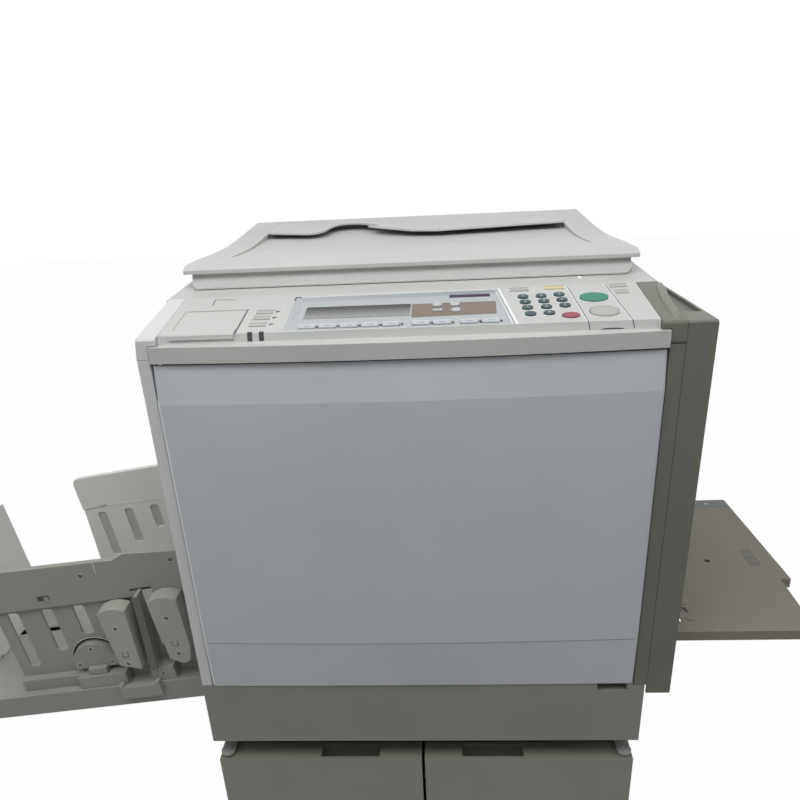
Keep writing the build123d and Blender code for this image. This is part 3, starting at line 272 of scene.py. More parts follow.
def dress_nodes():
    """Each CAD node gets its slot's material and small rounded edges."""
    slots = {row["node"]: row["material_slot"] for row in frame["record"]["subparts"]}
    slots.update(SHADES)
    for name, node in NODES.items():
        node.data.materials.clear()
        node.data.materials.append(MATERIALS[slots[name]])
        weld = node.modifiers.new("weld", "WELD")
        weld.merge_threshold = 0.00001
        flatten = node.modifiers.new("planar", "DECIMATE")
        flatten.decimate_type = "DISSOLVE"
        flatten.angle_limit = math.radians(0.3)
        bevel = node.modifiers.new("edges", "BEVEL")
        bevel.width = FINE_EDGE if name in FINE else EDGE
        bevel.segments = 4 if name in DOMED else 2
        bevel.limit_method = "ANGLE"
        bevel.angle_limit = math.radians(CREASED.get(name, SHARP))
        bevel.harden_normals = False
        for polygon in node.data.polygons:
            polygon.use_smooth = True
        smooth = node.modifiers.new("normals", "WEIGHTED_NORMAL")
        smooth.keep_sharp = True
        smooth.weight = 80


dress_nodes()


# Frames of reference for the added details: each takes two places on a face and the height above it, in mm

PANEL_TILT = math.radians(6.54)
CREASE = (7.0, 598.2)                    # front crease of the panel, y and z
STRIP_SLOPE = math.radians(74.8)         # of the panel's front face below the crease
TABLE_TILT = math.radians(7.5)
TABLE_ROOT = (-303.0, 75.0)
PAPER_Y = 212.0
FENCE_OUT, FENCE_THICK = 147.0, 9.0      # from the paper's middle to a fence's outer face, and its plate
FENCE_NEAR = PAPER_Y - FENCE_OUT         # outer face of the near fence
FENCE_FAR = PAPER_Y + FENCE_OUT - FENCE_THICK    # face of the far fence on the paper's side
GEAR_OUT, FOOT_OUT, LEVER_OUT = 5, 16, 25        # faces in front of the near fence's upper plate
PANEL_IN, SLOT_IN = 5, 2.8               # sunk faces: the near fence's slotted panel, the far fence's slots
LEFT, FEED_SIDE, DEPTH = -303.0, 337.0, 684.0
REAR_FACE = DEPTH + 3.5                  # outer face of the rear cover
DECK = 610.0
FEED_TOP = 156.0


def on_panel(x, v, h):
    y = CREASE[0] + v * math.cos(PANEL_TILT) - h * math.sin(PANEL_TILT)
    return at(x, y, CREASE[1] + v * math.sin(PANEL_TILT) + h * math.cos(PANEL_TILT))


def on_strip(x, v, h):
    """The steep face in front of the panel's crease; v runs down from the crease as minus values."""
    y = CREASE[0] + v * math.cos(STRIP_SLOPE) - h * math.sin(STRIP_SLOPE)
    return at(x, y, CREASE[1] + v * math.sin(STRIP_SLOPE) + h * math.cos(STRIP_SLOPE))


def table_point(x, y, z):
    return at(TABLE_ROOT[0] + x * math.cos(TABLE_TILT) - z * math.sin(TABLE_TILT), y,
              TABLE_ROOT[1] + x * math.sin(TABLE_TILT) + z * math.cos(TABLE_TILT))


def on_near_fence(x, z, h):
    return table_point(x, FENCE_NEAR - h, z)


def raised(place, rise):
    """The same face moved out by a rise, or in where it is minus."""
    return lambda a, b, h: place(a, b, h + rise)


def on_level(height):
    return lambda x, y, h: at(x, y, height + h)


def on_front(y0):
    return lambda x, z, h: at(x, y0 - h, z)


def on_back(y0):
    return lambda x, z, h: at(x, y0 + h, z)


def on_side(x0, sign):
    return lambda y, z, h: at(x0 + sign * h, y, z)


# Mesh building for the added details

def finish_mesh(name, mesh, material, body, bevel=0.0):
    """Turns a mesh into a piece of one material that rides a body."""
    bmesh.ops.recalc_face_normals(mesh, faces=mesh.faces)
    if bevel > 0:
        bmesh.ops.bevel(mesh, geom=list(mesh.edges), offset=bevel * MM, segments=2, affect="EDGES",
                        profile=0.6)
    data = bpy.data.meshes.new(name)
    mesh.to_mesh(data)
    mesh.free()
    data.materials.append(MATERIALS[material])
    piece = bpy.data.objects.new(name, data)
    bpy.context.scene.collection.objects.link(piece)
    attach(piece, body)
    return piece


def add_prism(mesh, outline, low, high, place):
    """A block with its outline on a face, from one height to another."""
    floor = [mesh.verts.new(place(a, b, low)) for a, b in outline]
    top = [mesh.verts.new(place(a, b, high)) for a, b in outline]
    mesh.faces.new(floor)
    mesh.faces.new(top)
    for i in range(len(outline)):
        j = (i + 1) % len(outline)
        mesh.faces.new((floor[i], floor[j], top[j], top[i]))


def prism(name, outline, low, high, place, material, body="root", bevel=0.15):
    mesh = bmesh.new()
    add_prism(mesh, outline, low, high, place)
    return finish_mesh(name, mesh, material, body, bevel)


def bar(a0, a1, b0, b1):
    return [(a0, b0), (a1, b0), (a1, b1), (a0, b1)]


def bars(name, rows, low, high, place, material, body="root", bevel=0.1):
    """Several blocks of one height as one piece."""
    mesh = bmesh.new()
    for row in rows:
        add_prism(mesh, row, low, high, place)
    return finish_mesh(name, mesh, material, body, bevel)


def strokes(name, lines, width, low, high, place, material, body="root"):
    """Raised lines of one width along open runs of points."""
    mesh = bmesh.new()
    for line in lines:
        for (a0, b0), (a1, b1) in zip(line, line[1:]):
            run = math.hypot(a1 - a0, b1 - b0)
            end_a, end_b = (a1 - a0) / run * width / 2, (b1 - b0) / run * width / 2
            side_a, side_b = -end_b, end_a
            outline = [(a0 - end_a + side_a, b0 - end_b + side_b), (a0 - end_a - side_a, b0 - end_b - side_b),
                       (a1 + end_a - side_a, b1 + end_b - side_b), (a1 + end_a + side_a, b1 + end_b + side_b)]
            add_prism(mesh, outline, low, high, place)
    return finish_mesh(name, mesh, material, body)


def add_lathe(mesh, profile, a, b, place, steps=24, squeeze=1.0):
    """A turned shape from (radius, height) points round an axis that stands on the face."""
    loops = []
    for radius, height in profile:
        loop = []
        for i in range(steps):
            turn = 2 * math.pi * i / steps
            across, along = radius * math.cos(turn), radius * squeeze * math.sin(turn)
            loop.append(mesh.verts.new(place(a + across, b + along, height)))
        loops.append(loop)
    for inner, outer in zip(loops, loops[1:]):
        for i in range(steps):
            j = (i + 1) % steps
            mesh.faces.new((inner[i], inner[j], outer[j], outer[i]))
    if profile[0][0] > 0:
        mesh.faces.new(loops[0])
    if profile[-1][0] > 0 and profile[-1] != profile[0]:
        mesh.faces.new(loops[-1])


def lathe(name, profile, places, place, material, body="root", squeeze=1.0):
    mesh = bmesh.new()
    for a, b in places:
        add_lathe(mesh, profile, a, b, place, squeeze=squeeze)
    piece = finish_mesh(name, mesh, material, body)
    for polygon in piece.data.polygons:
        polygon.use_smooth = True
    return piece


def rings(name, shapes, width, low, high, place, material, body="root", steps=40):
    """Flat rings, round or oval, given as (a, b, half width, half depth)."""
    mesh = bmesh.new()
    for a, b, half_a, half_b in shapes:
        inner_low, outer_low, inner_top, outer_top = [], [], [], []
        for i in range(steps):
            turn = 2 * math.pi * i / steps
            c, s = math.cos(turn), math.sin(turn)
            inner = (a + half_a * c, b + half_b * s)
            outer = (a + (half_a + width) * c, b + (half_b + width) * s)
            inner_low.append(mesh.verts.new(place(*inner, low)))
            outer_low.append(mesh.verts.new(place(*outer, low)))
            inner_top.append(mesh.verts.new(place(*inner, high)))
            outer_top.append(mesh.verts.new(place(*outer, high)))
        for i in range(steps):
            j = (i + 1) % steps
            mesh.faces.new((inner_top[i], inner_top[j], outer_top[j], outer_top[i]))
            mesh.faces.new((outer_top[i], outer_top[j], outer_low[j], outer_low[i]))
            mesh.faces.new((inner_low[i], inner_low[j], inner_top[j], inner_top[i]))
            mesh.faces.new((inner_low[i], inner_low[j], outer_low[j], outer_low[i]))
    return finish_mesh(name, mesh, material, body)


def arc(a, b, radius, first, last, steps=16):
    """Points of a round stretch between two angles in degrees."""
    turns = [math.radians(first + (last - first) * i / steps) for i in range(steps + 1)]
    return [(a + radius * math.cos(turn), b + radius * math.sin(turn)) for turn in turns]


def screws(name, places, place, body="root", radius=3.2, material="screw_steel"):
    """Sunk screw heads: a raised rim, a dish of painted shade and a head with a cross of painted shade in it.
    """
    rims = [(a, b, radius, radius) for a, b in places]
    rings(name + "_rims", rims, 0.6, -0.3, 0.25, place, "rim_light", body, 24)
    dish = [(radius, -0.3), (radius, 0.05), (0.01, 0.05)]
    lathe(name + "_dish_shade", dish, places, place, "dark_marks_and_shade", body)
    lathe(name + "_heads", [(radius * 0.72, 0.0), (radius * 0.72, 0.12), (radius * 0.5, 0.3), (0.01, 0.36)],
          places, place, material, body)
    cross = []
    for a, b in places:
        reach = radius * 0.4
        cross.append(bar(a - reach, a + reach, b - 0.25, b + 0.25))
        cross.append(bar(a - 0.25, a + 0.25, b - reach, b + reach))
    bars(name + "_cross_shade", cross, 0.3, 0.42, place, "dark_marks_and_shade", body, 0.0)


# Operation panel

# Places of the keys on the panel: its x and the way up its slope, and a width for the flat keys

NUMBER_KEYS = [(x + shift, v + rise) for v, shift in ((79.8, -0.8), (62.4, 0), (44.6, 0.7))
               for x, rise in ((138.9, 0), (160.3, 0.8), (181.5, 3.2))]
NUMBER_KEYS += [(140.8, 25.8), (161.9, 26.9)]
DIGITS = {
    0: [[(0, 0), (1, 0), (1, 2), (0, 2), (0, 0)]],
    1: [[(0.1, 1.6), (0.5, 2), (0.5, 0)]],
    2: [[(0, 1.7), (0.2, 2), (0.8, 2), (1, 1.6), (0, 0), (1, 0)]],
    3: [[(0, 2), (1, 2), (0.5, 1.2), (1, 0.8), (1, 0.2), (0.7, 0), (0, 0.1)]],
    4: [[(0.8, 0), (0.8, 2), (0, 0.6), (1, 0.6)]],
    5: [[(1, 2), (0.1, 2), (0, 1.1), (0.8, 1.1), (1, 0.7), (0.8, 0), (0, 0)]],
    6: [[(0.9, 2), (0.3, 1.5), (0, 0.7), (0.1, 0), (0.9, 0), (1, 0.9), (0.1, 0.9)]],
    7: [[(0, 2), (1, 2), (0.4, 0)]],
    8: [[(0, 0), (1, 0), (1, 1), (0, 1), (0, 0)], [(0, 1), (0.1, 2), (0.9, 2), (1, 1)]],
    9: [[(0.9, 1.1), (0, 1.1), (0.1, 2), (0.9, 2), (1, 1.3), (0.7, 0.5), (0.1, 0)]],
}


def digit_lines():
    """Strokes of the figures on the number keys, in the panel's places."""
    values = [1, 2, 3, 4, 5, 6, 7, 8, 9, None, 0]
    size = 1.7
    lines = []
    for (x, v), value in zip(NUMBER_KEYS, values):
        if value is not None:
            for line in DIGITS[value]:
                lines.append([(x + (a - 0.5) * size, v + (b - 1.0) * size) for a, b in line])
    return lines


FLAT_KEYS = ((136.2, 105.9, 22), (178.3, 108.1, 23), (253.7, 107.4, 20), (254.3, 86.3, 15))
LEFT_KEYS = ((-165.8, 61.4), (-166.5, 43), (-167, 22.6))


def key_borders():
    """Dark edge above and white edges beside the flat keys, whose caps have the cover's colour."""
    places = [(x, v, wide) for x, v, wide in FLAT_KEYS] + [(x, v, 20) for x, v in LEFT_KEYS]
    tops = [[(x - wide / 2 - 0.9, v + 5), (x + wide / 2 + 0.9, v + 5)] for x, v, wide in places]
    strokes("flat_key_tops", tops, 1.1, -0.2, 0.9, on_panel, "mark_grey")
    sides = []
    for x, v, wide in places:
        for a in (x - wide / 2 - 0.9, x + wide / 2 + 0.9):
            sides.append([(a, v + 4), (a, v - 4.5)])
    strokes("flat_key_sides", sides, 0.8, -0.2, 0.9, on_panel, "white_rims_and_highlights")
    lamps = [[(x + 13, v + 3), (x + 18, v + 3), (x + 13, v - 2)] for x, v in LEFT_KEYS]
    bars("left_key_lamps", lamps, -0.2, 0.4, on_panel, "dark_marks_and_shade")


def panel_details():
    strokes("key_figures", digit_lines(), 0.45, 2.15, 2.3, on_panel, "mark_light", "number_keys")
    # painted highlights: white rings round the number keys for the light on the rims of their wells
    rims = [(x, v, 7.0, 6.5) for x, v in NUMBER_KEYS]
    rings("number_key_highlights", rims, 0.8, -0.3, 0.4, on_panel, "white_rims_and_highlights")
    rings("start_key_rim", [(218.8, 70, 16.9, 13.9)], 0.9, -0.3, 0.5, on_panel, "white_rims_and_highlights")
    rings("proof_key_rim", [(222.1, 26.3, 17.4, 15.4)], 0.7, -0.3, 0.4, on_panel, "white_rims_and_highlights")
    rings("proof_key_groove", [(222.1, 26.3, 15.2, 13.2)], 0.9, 1.5, 1.66, on_panel, "mark_grey", "proof_key")
    key_borders()
    seams = [[(194.7, 110.3), (200.1, 0.3)], [(240.1, 112.5), (247.3, 0.3)]]
    strokes("plate_seams", seams, 0.9, -0.3, 0.12, on_panel, "dark_marks_and_shade")
    # painted highlights: white lines beside the plate's seams
    beside = [[(a - 1.1, b) for a, b in line] for line in seams]
    strokes("plate_seam_highlights", beside, 0.9, -0.3, 0.18, on_panel, "white_rims_and_highlights")
    strokes("plate_seams_front", [[(200.1, -0.4), (201.6, -8.4)], [(247.4, -0.4), (249.4, -8.4)]],
            0.9, -0.3, 0.12, on_strip, "dark_marks_and_shade")
    # painted shade: a dark crescent for the hollow of the notch under the plate
    crescent = [(x, -9.2 + 1.6 * math.sin(math.radians(turn))) for x, turn in
                ((212, 0), (216, 50), (220, 75), (224, 90), (228, 90), (232, 75), (236, 50), (240, 0))]
    prism("plate_notch_shade", crescent, -0.3, 0.15, on_strip, "dark_marks_and_shade")
    # the flap's side seam, widened with painted shadow of the flap's raised edge
    strokes("flap_seam_and_shadow", [[(-188.7, 73.5), (-188.6, 0.4)]], 1.4, -0.3, 0.1, on_panel, "dark_marks_and_shade")
    strokes("flap_seam_rear", [[(-265, 73.2), (-189.1, 73.2)]], 0.5, -0.3, 0.1, on_panel, "seam_grey")
    lights = [bar(-174.7, -169.2, -9.0, -0.2), bar(-161.6, -156.1, -9.0, -0.2)]
    bars("indicator_bars", lights, -0.3, 0.35, on_strip, "dark_marks_and_shade")
    lights = [bar(-174.7, -169.2, -0.2, 3.2), bar(-161.6, -156.1, -0.2, 3.2)]
    bars("indicator_bar_tops", lights, -0.3, 0.35, on_panel, "dark_marks_and_shade")
    bracket = [(-236.2, 90.7), (-237.8, 110.3), (-211.7, 108.1)]
    strokes("compartment_mark", [bracket], 1.2, -0.2, 0.12, on_panel, "dark_marks_and_shade")


SOFT_KEYS = (-111, -87.3, -63, -39.2, -15.5, 18.2, 42, 72, 95.9)
SOFT_KEY_V = 20


DISPLAY_FLOOR = -4.0


def display_details():
    """Fields on the display's floor, which lies under the panel's face."""
    floor = DISPLAY_FLOOR
    bars("display_field", [[(7.0, 40), (104.5, 43), (106.7, 82), (6.3, 81)]], floor, floor + 0.35, on_panel,
         "field_taupe")
    bars("display_strip", [bar(52, 101, 98.5, 107)], floor, floor + 0.4, on_panel, "field_purple")
    strokes("display_divide", [[(6.5, 40), (6.2, 83)]], 0.8, floor, floor + 0.5, on_panel, "rim_light")
    dots = [bar(x + 11.2, x + 13.6, SOFT_KEY_V - 2.2, SOFT_KEY_V + 2.2) for x in SOFT_KEYS]
    bars("display_lamps", dots, floor, floor + 0.7, on_panel, "dark_marks_and_shade")
    marks = [bar(x - 3, x + 4, SOFT_KEY_V - 0.6, SOFT_KEY_V + 0.6) for x in SOFT_KEYS]
    bars("soft_key_marks", marks, -2.25, -2.1, on_panel, "mark_grey", "soft_keys", 0.0)
    edges = [[(x - 9.2, SOFT_KEY_V + 4.3), (x + 9.2, SOFT_KEY_V + 4.3)] for x in SOFT_KEYS]
    strokes("soft_key_edges", edges, 0.7, -2.3, -2.0, on_panel, "white_rims_and_highlights", "soft_keys")
    # painted highlights: white on the display's right wall and along its right and rear edges
    wall = [[(120.6, 3.6), (109.4, 108.2)]]
    strokes("display_wall_highlight", wall, 2.4, floor, -1.6, on_panel, "white_rims_and_highlights")
    strokes("display_edge_right_highlight", [[(123.8, 0.6), (111.8, 111.8)]], 2.4, -0.5, 0.4, on_panel, "white_rims_and_highlights")
    strokes("display_edge_rear_highlight", [[(111.2, 111.8), (-135.8, 107.4)]], 1.0, -0.5, 0.4, on_panel, "white_rims_and_highlights")
    # painted shade in the display's left rear corner
    strokes("display_corner_shade", [[(-135.8, 98), (-135.8, 107.2), (-130, 107.4)]], 1.6, -0.5, 0.45, on_panel,
            "dark_marks_and_shade")


# Feed side

def sweep(name, path, width, height, place, material, body="root"):
    """A rounded rib along a path on a face; its ends run out to nothing."""
    mesh = bmesh.new()
    steps = 7
    loops = []
    for i, (a, b, base) in enumerate(path):
        before = path[max(i - 1, 0)]
        after = path[min(i + 1, len(path) - 1)]
        run = math.hypot(after[0] - before[0], after[1] - before[1])
        side_a, side_b = -(after[1] - before[1]) / run, (after[0] - before[0]) / run
        size = 0.35 if i in (0, len(path) - 1) else 1.0
        loop = []
        for k in range(steps):
            turn = math.pi * k / (steps - 1)
            shift = width / 2 * math.cos(turn) * (0.6 + 0.4 * size)
            loop.append(mesh.verts.new(place(a + side_a * shift, b + side_b * shift,
                                             base + height * size * math.sin(turn))))
        loops.append(loop)
    for first, second in zip(loops, loops[1:]):
        for k in range(steps - 1):
            mesh.faces.new((first[k], first[k + 1], second[k + 1], second[k]))
        mesh.faces.new((first[0], second[0], second[-1], first[-1]))
    mesh.faces.new(loops[0])
    mesh.faces.new(loops[-1])
    piece = finish_mesh(name, mesh, material, body)
    for polygon in piece.data.polygons:
        polygon.use_smooth = True
    return piece


RECESS_FRONT, RECESS_TOP = 46.0, 589.8   # front end of the recess in the feed side block's top, y and z
RECESS_DEEP, RECESS_LONG = 9.6, 190.0


def on_recess(x, y, h):
    """The floor of the recess, which slopes down to the rear."""
    return at(x, y, RECESS_TOP - (y - RECESS_FRONT) * RECESS_DEEP / RECESS_LONG + h)


def feed_block_details():
    ridge = [(304.5, 120), (301, 98), (298, 74), (296.5, 50), (296, 26), (296.5, 9)]
    path = [(x, y, CREASE[1] + (y - CREASE[0]) * math.tan(PANEL_TILT) - 1.5) for x, y in ridge]
    sweep("feed_ridge", path, 12, 4.5, on_level(0), "rib_plastic")
    strokes("feed_recess_edge", [[(308, 51), (332, 51)]], 3.0, -0.3, 0.4, on_recess, "dark_marks_and_shade")
    ticks = [[(311, y), (328, y + 8)] for y in (72, 92, 112, 134, 158)]
    strokes("feed_recess_marks", ticks, 1.6, -0.3, 0.4, on_recess, "mark_grey")
    strokes("feed_strip_slot", [[(289.5, 573.5), (304, 573.5)]], 2.2, -0.3, 0.15, on_front(0), "dark_marks_and_shade")


def feed_tray_details():
    tray = on_level(FEED_TOP)
    body = "feed_tray"
    border = [(503, 187), (518, 187), (517, 229), (502, 229), (503, 187)]
    strokes("feed_tray_pad", [border], 0.7, -0.2, 0.12, tray, "dark_marks_and_shade", body)
    prism("feed_tray_pad_top", bar(503.8, 516.4, 188, 228), -0.2, 0.08, tray, "pad_brown", body)
    pin = [(1.2, 0.0), (1.2, 0.3), (0.01, 0.5)]
    lathe("feed_tray_pad_pin", pin, [(510, 207)], tray, "dark_marks_and_shade", body)
    # painted shade: a dark disc at the bottom of the hole
    hole_floor = [(3.9, -5.0), (3.9, -4.0), (0.01, -4.0)]
    lathe("feed_tray_hole_shade", hole_floor, [(443, 201)], tray, "dark_marks_and_shade", body)
    latch = [[(367, 62), (376, 56), (378, 56)], [(369, 92), (378, 93)], [(367, 84), (368, 76)]]
    strokes("feed_tray_latch", latch, 1.2, -0.2, 0.14, tray, "dark_marks_and_shade", body)
    hook = [(369, 88), (375, 85), (377, 74), (372, 76)]
    prism("feed_tray_latch_hook", hook, -0.2, 0.35, tray, "dark_marks_and_shade", body)
    prism("feed_tray_far_strip", bar(346, 533, 365, 389), -0.2, 0.3, tray, "strip_grey", body)
    mark = [(3.0, 0.0), (3.0, 0.5), (0.01, 0.7)]
    lathe("feed_tray_far_marks", mark, [(498, 376), (480, 380)], tray, "rim_light", body, 0.8)


# Delivery side

def near_fence_details():
    body = "fence_front"
    screws("fence_screws", [(-148, 185), (-12, 193)], on_near_fence, body, 3.6)
    gear = raised(on_near_fence, GEAR_OUT)
    screws("gear_cover_screws", [(-175, 62), (-201, 36), (-150, 36)], gear, body, 2.8)
    panel = raised(on_near_fence, -PANEL_IN)
    # painted shadow: a dark arc in the gap round the gear cover
    strokes("gear_cover_gap_shadow", [arc(-175, 36, 37.2, 4, 176, 28)], 2.6, -0.3, 0.25, panel, "dark_marks_and_shade", body)
    strokes("gear_cover_rim", [arc(-175, 36, 39.6, 4, 176, 28)], 1.0, -0.3, 0.6, panel, "rim_light", body)
    # painted shade: a dark sheet stands for the shaded side of the wall between the levers
    plate = [(-88, 24), (-77, 24), (-64, 152), (-75, 152)]
    prism("lever_plate_shade", plate, 20.2, 21.0, on_near_fence, "plate_shade", body)
    levers = raised(on_near_fence, LEVER_OUT)
    screws("lever_screws", [(-113, 107), (-114.3, 43.5), (-34.4, 114.5), (-35.5, 52)], levers, body, 3.2)
    places = ((-113.2, 60), (-35.4, 69))
    marks = [[(x - 4, z + 5), (x - 4, z - 4), (x + 4, z - 4), (x + 4, z + 5)] for x, z in places]
    strokes("lever_marks", marks, 0.9, -0.2, 0.15, levers, "dark_marks_and_shade", body)
    prism("fence_window", bar(-224, -206, 152, 160), -0.3, 0.2, on_near_fence, "dark_marks_and_shade", body)
    prism("fence_window_key", bar(-214, -207, 150, 158), 0.0, 1.2, on_near_fence, "delivery", body)
    strokes("fence_rib", [[(-122, 205), (-124, 186)]], 1.2, -0.3, 1.0, on_near_fence, "rim_light", body)
    prism("lever_slot_top", bar(-86, -54, 150, 153.5), -0.3, 0.2, on_near_fence, "dark_marks_and_shade", body)
    foot = raised(on_near_fence, FOOT_OUT)
    seams = [[(-206, 2), (-206, 19)], [(-150, 2), (-150, 19)]]
    strokes("foot_seams", seams, 0.8, -0.2, 0.15, foot, "mark_grey", body)
    screws("foot_screws", [(-74, 12)], foot, body, 2.6)


def far_fence_details():
    body = "fence_rear"
    face = lambda x, z, h: table_point(x, FENCE_FAR - h, z)
    strokes("far_fence_rib", [[(-284, 150), (-130, 150)]], 1.2, -0.3, 0.5, face, "rim_light", body)
    slots = ((-254, 49), (-204, 69), (-156, 94), (-80, 62))
    # painted shade: the slot floors are darker than the fence around them
    floors = [bar(x - 7.6, x + 7.6, z0 + 0.5, 138.5) for x, z0 in slots]
    bars("far_slot_floors", floors, -0.2, 0.2, raised(face, -SLOT_IN), "slot_floor_shade", body, 0.0)


# Front door

DOOR_CREASE = 176.0                      # height of the lower crease
DOOR_BOTTOM = 99.0
DOOR_HALF = 282.0
DOOR_OUT, DOOR_BOW = 4.5, 5.0            # face in front of the machine's front at the sides, and its bow
DOOR_LEAN = 3.0


def on_door(x, z, h):
    """The door's bowed face at its lower crease."""
    return at(x, -DOOR_OUT - DOOR_BOW * (1 - (x / DOOR_HALF) ** 2) - h, z)


def on_door_edge(x, z, h):
    """The door's face near its left edge, which leans forward up to the lower crease."""
    lean = DOOR_LEAN * min(1.0, (z - DOOR_BOTTOM) / (DOOR_CREASE - DOOR_BOTTOM))
    return at(x, -0.1 - lean - h, z)


def door_details():
    steps = 12
    crease = [(-DOOR_HALF + 2 * DOOR_HALF * i / steps, DOOR_CREASE) for i in range(steps + 1)]
    # painted shade: a grey line along the lower crease for the shadow under its step
    strokes("door_crease_shade", [crease], 0.9, -0.3, 0.12, on_door, "seam_grey", "front_door")
    # painted highlight: a white line down the door's left edge
    edge = [[(-285.6, 102), (-285.6, DOOR_CREASE)], [(-285.6, DOOR_CREASE), (-285.6, 524)]]
    strokes("door_edge_highlight", edge, 1.6, -0.6, 0.5, on_door_edge, "white_rims_and_highlights", "front_door")


# Sides and back

def shell_details():
    # painted shade: a dark floor in the door's finger notch
    notch = [(240, 94), (247, 84.8), (280, 84.8), (280, 96)]
    prism("door_notch_shade", notch, -14.5, -13.0, on_front(0), "dark_marks_and_shade")
    back = on_back(REAR_FACE)
    screws("rear_screws", [(x, z) for x in (-290, 0, 292) for z in (20, 300, 560)], back)
    screws("left_screws", [(y, z) for y in (30, 650) for z in (130, 540)], on_side(LEFT, -1))
    screws("feed_side_screws", [(y, z) for y in (30, 650) for z in (110, 540)], on_side(FEED_SIDE, 1))
    # painted shade: dark flat shapes for the grip recesses in the sides
    grip = [arc(470, 470, 9, 90, 270, 10) + arc(570, 470, 9, -90, 90, 10)]
    bars("left_grip_shade", grip, -0.3, 0.2, on_side(LEFT, -1), "dark_marks_and_shade")
    bars("feed_side_grip_shade", grip, -0.3, 0.2, on_side(FEED_SIDE, 1), "dark_marks_and_shade")
    # painted shade: dark flat bars for the vent slots
    slots = [bar(y, y + 60, z, z + 3.5) for y in (430, 500) for z in range(60, 130, 8)]
    bars("left_vent_shades", slots, -0.3, 0.2, on_side(LEFT, -1), "dark_marks_and_shade")
    # partly a small clip on the deck's edge and partly a painted glint, in pure white
    prism("deck_clip_glint", bar(215.5, 220.5, 162, 167), -0.3, 2.2, on_level(DECK), "white_rims_and_highlights", bevel=0.5)


panel_details()
display_details()
feed_block_details()
feed_tray_details()
near_fence_details()
far_fence_details()
door_details()
shell_details()


# Camera, background, floor and lights

CAMERA_PLACE = at(37.3, -789.1, 826.4)
YAW, PITCH, ROLL = 0.0639, 0.4292, 0.0524    # in radians
FOCAL_PIXELS = 746.3
MIDDLE = (397.5, 441.4)                  # principal point in the photograph
IMAGE = 800.0


def camera():
    data = bpy.data.cameras.new("camera")
    data.sensor_width = 36.0
    data.lens = FOCAL_PIXELS / IMAGE * data.sensor_width
    data.shift_x = (IMAGE / 2 - MIDDLE[0]) / IMAGE
    data.shift_y = (MIDDLE[1] - IMAGE / 2) / IMAGE
    data.clip_start = 0.05
    thing = bpy.data.objects.new("camera", data)
    bpy.context.scene.collection.objects.link(thing)
    yaw, pitch = Euler((0, 0, YAW)).to_matrix(), Euler((-PITCH, 0, 0)).to_matrix()
    turn = yaw @ pitch @ Euler((0, ROLL, 0)).to_matrix()
    right, ahead, up = turn.col[0], turn.col[1], turn.col[2]
    matrix = Matrix((right, up, -ahead)).transposed().to_4x4()
    matrix.translation = CAMERA_PLACE
    thing.matrix_world = matrix
    bpy.context.scene.camera = thing


def seen_directly(nodes, links):
    """1 for rays from the camera, off gloss and through glass, which all see the white background."""
    path = nodes.new("ShaderNodeLightPath")
    either = nodes.new("ShaderNodeMath")
    either.operation = "MAXIMUM"
    links.new(path.outputs["Is Camera Ray"], either.inputs[0])
    links.new(path.outputs["Is Glossy Ray"], either.inputs[1])
    any_of = nodes.new("ShaderNodeMath")
    any_of.operation = "MAXIMUM"
    links.new(either.outputs["Value"], any_of.inputs[0])
    links.new(path.outputs["Is Transmission Ray"], any_of.inputs[1])
    return any_of.outputs["Value"]


SOFT_LIGHT = 0.18                        # of the world on the object
FLOOR_GLOW, GLOW_SHARE = 1.08, 0.9       # the rest of the floor's look is its shadows


def background():
    """Soft light on the object, and plain white where the background itself is seen."""
    world = bpy.data.worlds.new("world")
    world.use_nodes = True
    bpy.context.scene.world = world
    nodes, links = world.node_tree.nodes, world.node_tree.links
    soft = nodes["Background"]
    soft.inputs["Color"].default_value = (0.98, 0.99, 1.0, 1.0)
    soft.inputs["Strength"].default_value = SOFT_LIGHT
    white = nodes.new("ShaderNodeBackground")
    white.inputs["Color"].default_value = (1.0, 1.0, 1.0, 1.0)
    mix = nodes.new("ShaderNodeMixShader")
    links.new(seen_directly(nodes, links), mix.inputs["Fac"])
    links.new(soft.outputs["Background"], mix.inputs[1])
    links.new(white.outputs["Background"], mix.inputs[2])
    links.new(mix.outputs["Shader"], nodes["World Output"].inputs["Surface"])


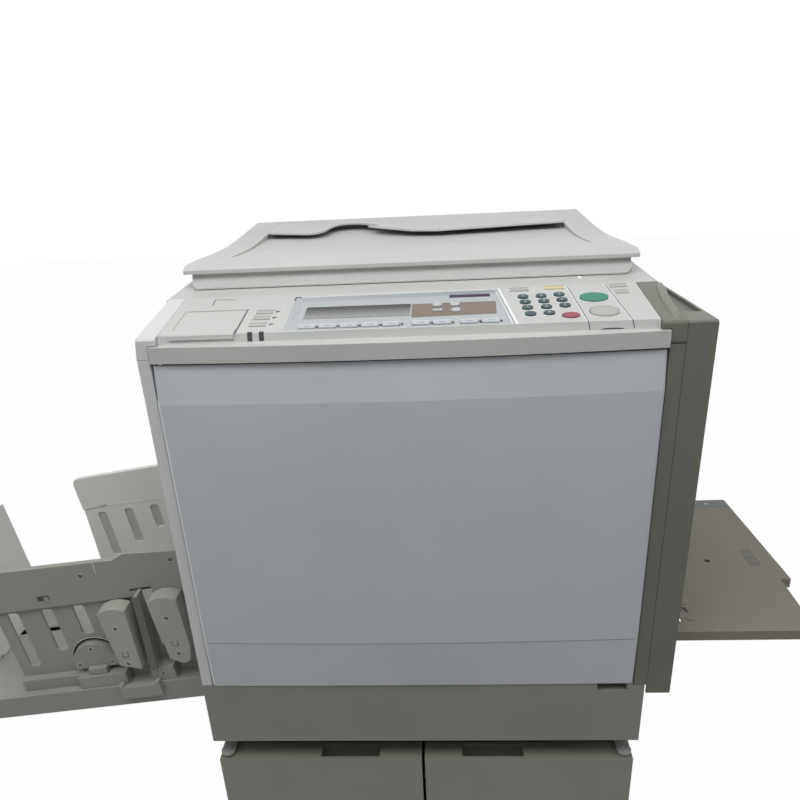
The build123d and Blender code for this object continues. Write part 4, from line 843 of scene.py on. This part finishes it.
def floor_material():
    """Matt grey that takes the shadow, mixed with a glow as white as the background."""
    material, nodes, links = new_material("floor")
    shader = nodes["Principled BSDF"]
    shader.inputs["Base Color"].default_value = (0.45, 0.45, 0.44, 1.0)
    shader.inputs["Roughness"].default_value = 0.9
    shader.inputs["Specular IOR Level"].default_value = 0.0
    glow = nodes.new("ShaderNodeEmission")
    glow.inputs["Color"].default_value = (1.0, 1.0, 1.0, 1.0)
    glow.inputs["Strength"].default_value = FLOOR_GLOW
    share = nodes.new("ShaderNodeMath")
    share.operation = "MULTIPLY"
    share.inputs[1].default_value = GLOW_SHARE
    links.new(seen_directly(nodes, links), share.inputs[0])
    mix = nodes.new("ShaderNodeMixShader")
    links.new(share.outputs["Value"], mix.inputs["Fac"])
    links.new(shader.outputs["BSDF"], mix.inputs[1])
    links.new(glow.outputs["Emission"], mix.inputs[2])
    links.new(mix.outputs["Shader"], nodes["Material Output"].inputs["Surface"])
    return material


def floor():
    bpy.ops.mesh.primitive_plane_add(size=12.0, location=(0, 0, -0.0005))
    plane = bpy.context.object
    plane.name = "floor"
    plane.data.materials.append(floor_material())


def area_light(name, place, aim, size, power, color=(1.0, 1.0, 1.0)):
    data = bpy.data.lights.new(name, "AREA")
    data.shape = "RECTANGLE"
    data.size, data.size_y = size
    data.energy = power
    data.color = color
    light = bpy.data.objects.new(name, data)
    bpy.context.scene.collection.objects.link(light)
    light.location = place
    light.visible_camera = False
    light.rotation_euler = (Vector(aim) - Vector(place)).to_track_quat("-Z", "Y").to_euler()


def lights():
    middle = (0.1, 0.0, 0.8)
    area_light("overhead", (0.0, 0.0, 2.7), middle, (2.6, 2.0), 15.0, (1.0, 0.995, 0.98))
    area_light("left_window", (-2.4, -1.2, 2.4), middle, (1.6, 1.4), 9.0, (0.98, 0.99, 1.0))
    area_light("right_window", (2.6, -0.9, 2.4), middle, (1.6, 1.4), 8.0, (1.0, 0.995, 0.985))
    area_light("front_fill", (0.0, -0.95, 2.1), (0.0, -0.33, 0.95), (2.6, 0.7), 13.5, (0.98, 0.99, 1.0))


camera()
background()
floor()
lights()
bpy.context.scene.view_settings.view_transform = "Standard"
